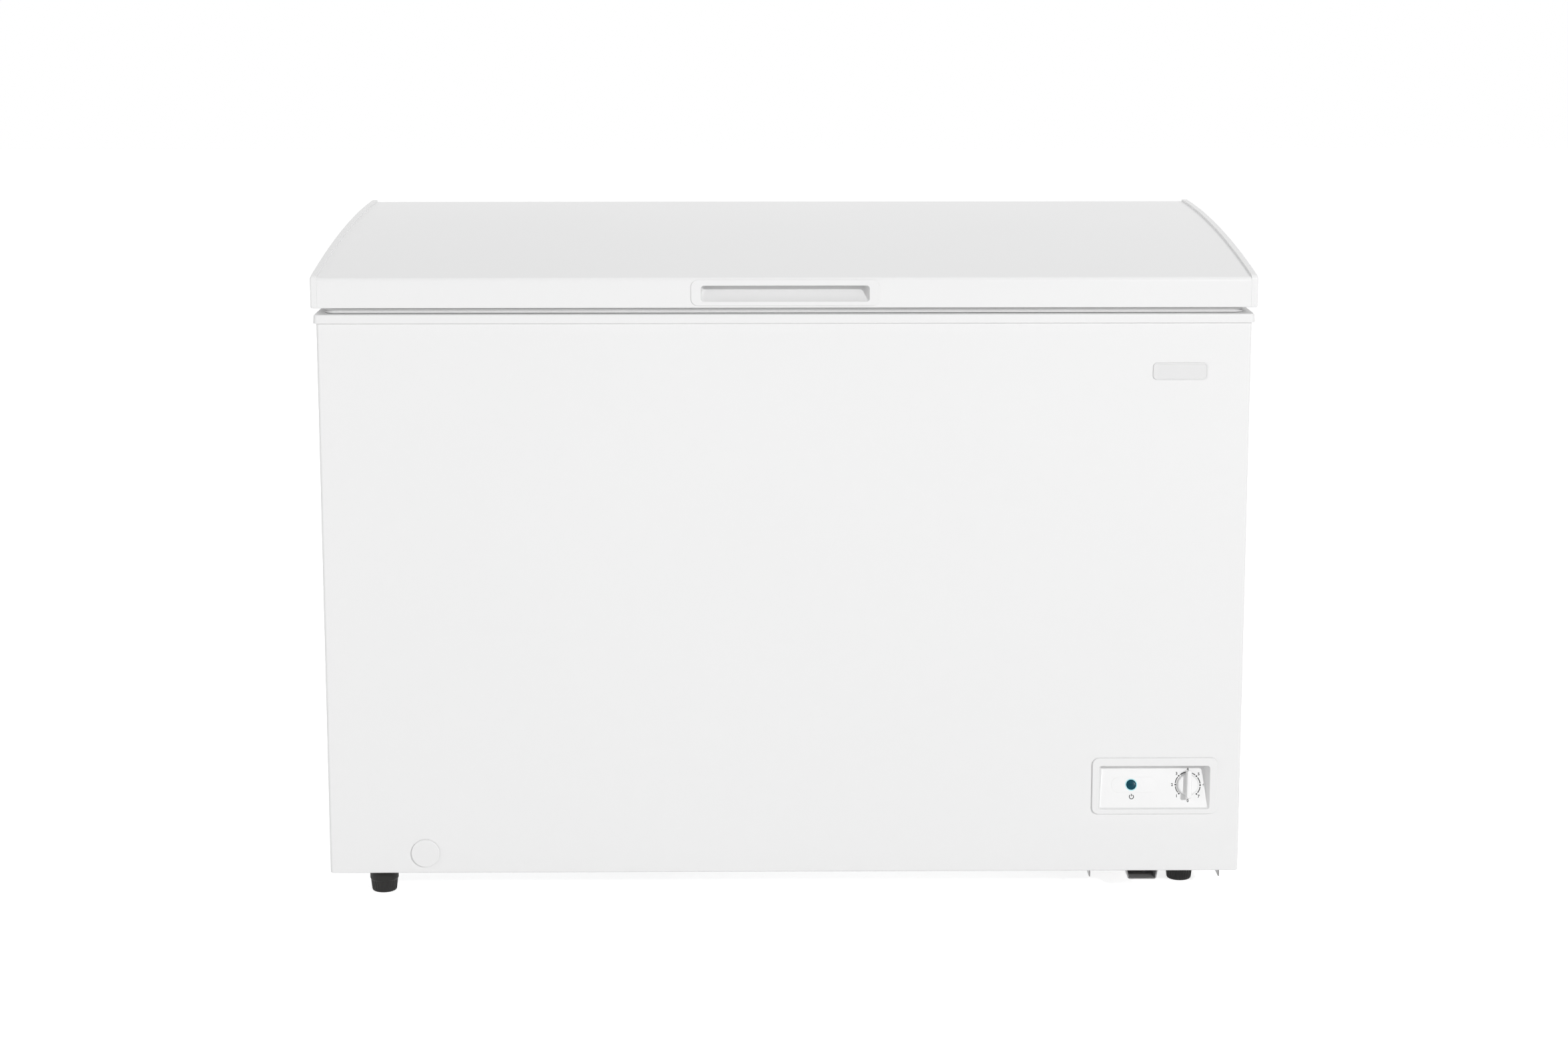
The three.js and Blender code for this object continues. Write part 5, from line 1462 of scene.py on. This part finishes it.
back_across = np.sort(np.r_[back_low.x, cutaway_x, back_high.x, bead_frame[0] + bead_lines + 0.004,
                            bead_frame[1] + bead_lines - 0.004, -0.3, -0.1, 0.1])[::-1]
back_up = np.sort(np.r_[back_low.z, cutaway_height, back_high.z, bead_frame[2] + bead_lines + 0.004,
                        bead_frame[3] + bead_lines - 0.004, 0.35, 0.45])
back_grid_across, back_grid_up = np.meshgrid(back_across, back_up)
back_depth = back_high.y + bead(back_grid_across, back_grid_up)
back_points = grid(back_grid_across, back_depth, back_grid_up)
back_cell = (back_points[:-1, :-1] + back_points[1:, 1:]) / 2
cut_away = (back_cell[..., 0] > cutaway_x) & (back_cell[..., 2] < cutaway_height)
piece("back_sheet", patch(back_points, closed=False, keep=~cut_away), galvanised, "cabinet",
      ["back_panel"], wall=back_sheet)
screw_size = (0.0075, 0.0028)   # width and height of the head
screw_margin = 0.012
top_screws, foot_screws = 0.706, 0.055


def rear_screws(name, places, depth):
    """A piece of screw heads that face backwards at places of X and height."""
    heads = [screw_head((x, depth, height), (0, 1, 0), *screw_size) for x, height in places]
    piece(name, heads, bright_plate, "cabinet")


screws_left, screws_right = back_low.x + screw_margin, back_high.x - screw_margin
back_places = [(x, top_screws) for x in np.linspace(screws_left, screws_right, 9)]
back_places += [(x, foot_screws) for x in np.linspace(screws_left, cutaway_x - 0.03, 6)]
back_places += [(screws_left, height) for height in (0.22, 0.38, 0.54)]
back_places += [(screws_right, height) for height in (0.34, 0.48)]
rear_screws("back_panel_screws", back_places, back_high.y)

# ------------------
# Rear cover. Zinc-coated sheet over the compressor space, screwed at its edges,
# with ten rows of louvres pushed out of it to let warm air leave.
cover_low, cover_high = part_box("rear_cover")
cover_sheet = 0.0012
louvre_span = (0.392, 0.54)
louvre_pitch = 0.014
louvre_foot = 0.1
louvre_count = 10
louvre_rise = 0.0045
louvre_height = 0.008
louvre_end = 0.007
gland_low, gland_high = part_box("inlet_gland")
gland_spot = ((gland_low.x + gland_high.x) / 2, (gland_low.z + gland_high.z) / 2)
gland_hole = 0.0076
gland_steps = np.arange(-8, 9) * gland_hole / 4
open_louvre = 0.0003


def louvred(across, up):
    """How far the sheet stands out: nothing below a louvre's open edge, most just above it, and then a
    quarter wave back to the sheet. Both ends of a louvre fall away along a quarter wave too."""
    phase = (up - louvre_foot) % louvre_pitch
    row = np.floor((up - louvre_foot) / louvre_pitch)
    inside = (row >= 0) & (row < louvre_count) & (phase > open_louvre / 2) & (phase < louvre_height)
    climb = np.cos(np.clip(phase / louvre_height, 0, 1) * np.pi / 2)
    from_end = np.minimum(across - louvre_span[0], louvre_span[1] - across)
    taper = np.sin(np.clip(from_end / louvre_end, 0, 1) * np.pi / 2)
    return np.where(inside, louvre_rise * climb * taper, 0.0)


louvre_feet = louvre_foot + louvre_pitch * np.arange(louvre_count)
louvre_marks = np.r_[0.0, open_louvre, np.linspace(0.0, louvre_height, 6)[1:]]
louvre_tapers = np.r_[louvre_span[0] + louvre_end * np.linspace(0.0, 1.0, 5),
                      louvre_span[1] - louvre_end * np.linspace(1.0, 0.0, 5)]
cover_across = np.sort(np.r_[cover_low.x, cover_high.x, louvre_tapers, gland_spot[0] + gland_steps, 0.44,
                             0.48])[::-1]
cover_up = np.sort(np.r_[cover_low.z, cover_high.z, gland_spot[1] + gland_steps,
                         (louvre_feet[:, None] + louvre_marks).ravel()])
cover_grid_across, cover_grid_up = np.meshgrid(cover_across, cover_up)
cover_out = louvred(cover_grid_across, cover_grid_up)
cover_x, cover_z, cover_ring = eased_circle(cover_grid_across, cover_grid_up, gland_spot, gland_hole,
                                            gland_steps[-1])
cover_points = grid(cover_x, cover_high.y + cover_out, cover_z)
cover_cell = (cover_points[:-1, :-1] + cover_points[1:, 1:]) / 2
cell_rise = cover_points[1:, 1:, 2] - cover_points[:-1, :-1, 2]
slit = (cell_rise < 2 * open_louvre) & (cover_cell[..., 2] > louvre_foot - open_louvre)
slit &= np.abs(cover_out[1:, :-1] + cover_out[1:, 1:]) > 0.4 * louvre_rise
gland_cut = np.maximum(cover_ring[:-1, :-1], cover_ring[1:, 1:]) < gland_hole + 1e-5
piece("rear_cover_sheet", patch(cover_points, closed=False, keep=~(slit | gland_cut)), zinc_plate,
      "cabinet", ["rear_cover"], wall=cover_sheet)
cover_top = cover_high.z - 0.006
cover_places = [(x, height) for x in (cover_low.x + 0.0045, cover_high.x - 0.008)
                for height in (cover_low.z + 0.014, 0.15, cover_top)]
rear_screws("rear_cover_screws", cover_places + [(0.46, cover_top)], cover_high.y)

# ------------------
# Inlet gland. A black rubber bush whose groove grips the rear cover where the
# mains lead goes in.
gland_place = (gland_spot[0], cover_low.y, gland_spot[1])
gland_profile = rounded_profile([
    (0.004, -0.005), (0.0095, -0.005), (0.01, -0.0003), (0.0074, -0.0003), (0.0074, 0.0015),
    (0.01, 0.0015), (0.0086, 0.0065), (0.004, 0.0065), (0.004, -0.005)], 0.0008, 3)
piece("inlet_gland_bush", turned(gland_profile, gland_place, (0, 1, 0)), black_rubber, "cabinet",
      ["inlet_gland"])

# ------------------
# Hinges. On each side a hat-shaped steel bracket screwed to the cabinet's back
# carries a riveted pin. The arm on the lid turns on it, and its cam lets a
# spring-loaded follower rise as the lid opens, which holds the lid up.
bracket_sheet = 0.0017
bracket_bend = 0.003
hat_half = 0.024                # half the width over the cheeks, and then between them
hat_inside = 0.0222
flange_top = 0.7209
cheek_radius = 0.007
rear_face_drop = 0.011          # the hat's rear face ends this far below the pin
flange_screws = 0.032
flange_screw_heights = (0.62, 0.665, 0.708)
strap_sheet = 0.002
strap_half = 0.02
strap_bend = 0.003
tip_length = 0.005
tip_steps = 7
strap_screw_half = 0.011
strap_screw_heights = (0.788, 0.766)
hinge_screw = (0.0085, 0.0035)  # width and height of its head
strap_screw = (0.0085, 0.0033)
rivet_head = 0.005
rivet_shank = 0.003
shank_half = 0.0243
worn_edge = 0.0006
spring_radius = 0.006
spring_wire = 0.0013
spring_turns = 8
barrel_radius = 0.0064
cam_closed = 0.0095
cam_rate = 0.0032
hinge_joint = next(joint for joint in frame["joints"] if joint["name"] == "lid_hinge")
pin_depth, pin_height = hinge_joint["pos_m"][1:]
cabinet_back = front + 0.59
coil_depth = front + 0.6015


def bracket_top(along):
    """The height at which the bracket's sheet ends: low on the flanges, and round the pin on the cheeks."""
    from_pin = np.clip((along - pin_depth) / cheek_radius, -1, 1)
    cheek = pin_height + cheek_radius * np.sqrt(1 - from_pin ** 2)
    return np.where(along < cabinet_back + 0.004, flange_top, cheek)


def carried_across(outline, low, high, edge, steps=3):
    """A closed outline of depth and height carried along X, with both ends drawn in round."""
    end_in, end_drop = rounding(edge, steps)
    loops = drawn_in(outline, np.r_[end_in[::-1], end_in])
    return set_across(loops, np.r_[low + end_drop[::-1], high - end_drop])


for hand in ("left", "right"):
    bracket_low, bracket_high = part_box("hinge_bracket_" + hand)
    middle = (bracket_low.x + bracket_high.x) / 2
    flange_face = cabinet_back + touch_gap + bracket_sheet
    section = rounded_profile([
        (bracket_high.x, flange_face), (middle + hat_half, flange_face),
        (middle + hat_half, bracket_high.y), (middle - hat_half, bracket_high.y),
        (middle - hat_half, flange_face), (bracket_low.x, flange_face)], bracket_bend)
    length = np.r_[0.0, np.cumsum(np.linalg.norm(np.diff(section, axis=0), axis=1))]
    even = np.unique(np.r_[length, np.arange(0.0, length[-1], 0.0011)])
    section = np.stack([np.interp(even, length, side) for side in section.T], axis=1)
    top = bracket_top(section[:, 1])
    rear_face = (np.abs(section[:, 0] - middle) < hat_inside) & (section[:, 1] > bracket_high.y - 0.002)
    top[rear_face] = pin_height - rear_face_drop
    share = np.array([0.0, 0.5, 0.9, 1.0])[:, None]
    bracket_points = grid(section[:, 0], section[:, 1], bracket_low.z + share * (top - bracket_low.z))
    piece("hinge_bracket_sheet_" + hand, patch(bracket_points, closed=False), zinc_plate,
          "cabinet", ["hinge_bracket_" + hand], wall=bracket_sheet)
    seat_outline = (middle - hat_inside, middle + hat_inside, cabinet_back + 0.003,
                    bracket_high.y - bracket_sheet, 0.002)
    seat_points = stacked(seat_outline, [0.0, 0.0], [bracket_low.z, bracket_low.z + bracket_sheet])
    piece("spring_seat_" + hand, seat_points, zinc_plate, "cabinet")
    bracket_screws = [screw_head((middle + offset, flange_face, height), (0, 1, 0), *hinge_screw)
                      for offset in (-flange_screws, flange_screws) for height in flange_screw_heights]
    piece("hinge_bracket_screws_" + hand, bracket_screws, bright_plate, "cabinet")

    pin_low, pin_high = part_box("hinge_pin_" + hand)
    pin_half = (pin_high.x - pin_low.x) / 2
    pin_profile = rounded_profile([
        (0.0, -pin_half), (rivet_head, -pin_half), (rivet_head, -shank_half), (rivet_shank, -shank_half),
        (rivet_shank, shank_half), (rivet_head, shank_half), (rivet_head, pin_half),
        (0.0, pin_half)], 0.0012)
    pin_points = turned(pin_profile, (middle, pin_depth, pin_height), (1, 0, 0), 32)
    piece("hinge_rivet_" + hand, pin_points, bright_plate, "cabinet", ["hinge_pin_" + hand])

    arm_low, arm_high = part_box("hinge_arm_" + hand)
    strap_foot = pin_height + 0.002
    strap = rounded_profile([
        (arm_low.y, arm_high.z), (arm_low.y, strap_foot), (pin_depth, strap_foot)], strap_bend, 5)
    tip = np.linspace(0.0, 1.0, tip_steps)
    tip_side = np.stack([np.full(tip_steps, arm_low.y), arm_high.z - tip_length * tip], axis=1)
    strap = np.vstack([tip_side, strap[1:]])
    round_tip = tip_length * (1 - np.sqrt(1 - (1 - tip) ** 2))
    half = np.r_[strap_half - round_tip, np.full(len(strap) - tip_steps, strap_half)]
    strap_points = grid(middle + half[:, None] * np.linspace(-1, 1, 5), strap[:, :1], strap[:, 1:])
    piece("hinge_strap_" + hand, patch(strap_points[:, ::-1], closed=False), zinc_plate, "lid",
          ["hinge_arm_" + hand], wall=strap_sheet)
    # The barrel's angles start straight down and turn towards the back: first the lobe, then the round hub.
    lobe = np.linspace(-0.05, 1.45, 16)
    hub = np.linspace(1.75, 2 * np.pi - 0.45, 28)
    reach = np.r_[cam_closed - cam_rate * lobe, np.full(len(hub), barrel_radius)]
    angle = np.r_[lobe, hub]
    barrel = np.stack([pin_depth + reach * np.sin(angle), pin_height - reach * np.cos(angle)], axis=1)
    barrel_points = carried_across(barrel, middle - strap_half, middle + strap_half, worn_edge)
    piece("hinge_cam_" + hand, barrel_points, bright_plate, "lid")
    strap_screws = [screw_head((middle + offset, arm_low.y + strap_sheet, height), (0, 1, 0), *strap_screw)
                    for height in strap_screw_heights
                    for offset in (-strap_screw_half, strap_screw_half)]
    piece("hinge_strap_screws_" + hand, strap_screws, bright_plate, "lid")

    shoe_low, shoe_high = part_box("spring_follower_" + hand)
    shoulder = shoe_low.z + 0.008
    nose_near, nose_far = pin_depth - 0.0015, pin_depth + 0.0015
    shoe = rounded_profile([
        (pin_depth, shoe_low.z), (shoe_high.y, shoe_low.z), (shoe_high.y, shoulder), (nose_far, shoulder),
        (nose_far, shoe_high.z), (nose_near, shoe_high.z), (nose_near, shoulder), (shoe_low.y, shoulder),
        (shoe_low.y, shoe_low.z), (pin_depth, shoe_low.z)], 0.0012)[:-1]
    shoe_points = carried_across(shoe, shoe_low.x, shoe_high.x, worn_edge)
    piece("follower_shoe_" + hand, shoe_points, black_moulding, hand + "_follower",
          ["spring_follower_" + hand])

    spring_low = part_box("hinge_spring_" + hand)[0]
    climb = np.linspace(0.0, 1.0, spring_turns * 20 + 1)
    coil_angle = 2 * np.pi * spring_turns * climb
    coil_foot = spring_low.z + spring_wire
    coil_head = shoe_low.z - spring_wire - 0.0002
    coil = np.stack([middle + spring_radius * np.cos(coil_angle),
                     coil_depth + spring_radius * np.sin(coil_angle),
                     coil_foot + (coil_head - coil_foot) * climb], axis=1)
    spring = piece("coil_spring_" + hand, wire_along(coil, (0, 0, 1), spring_wire, 8), bright_plate, None,
                   ["hinge_spring_" + hand])
    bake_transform(spring)

# ------------------
# Behind the panel. The thermostat's steel body and spindle, and the lamp's
# black holder, are fixed to the back of the control bezel.
keep_node("thermostat_body", zinc_plate)
keep_node("thermostat_shaft", bright_plate)
keep_node("indicator_lamp", black_moulding)
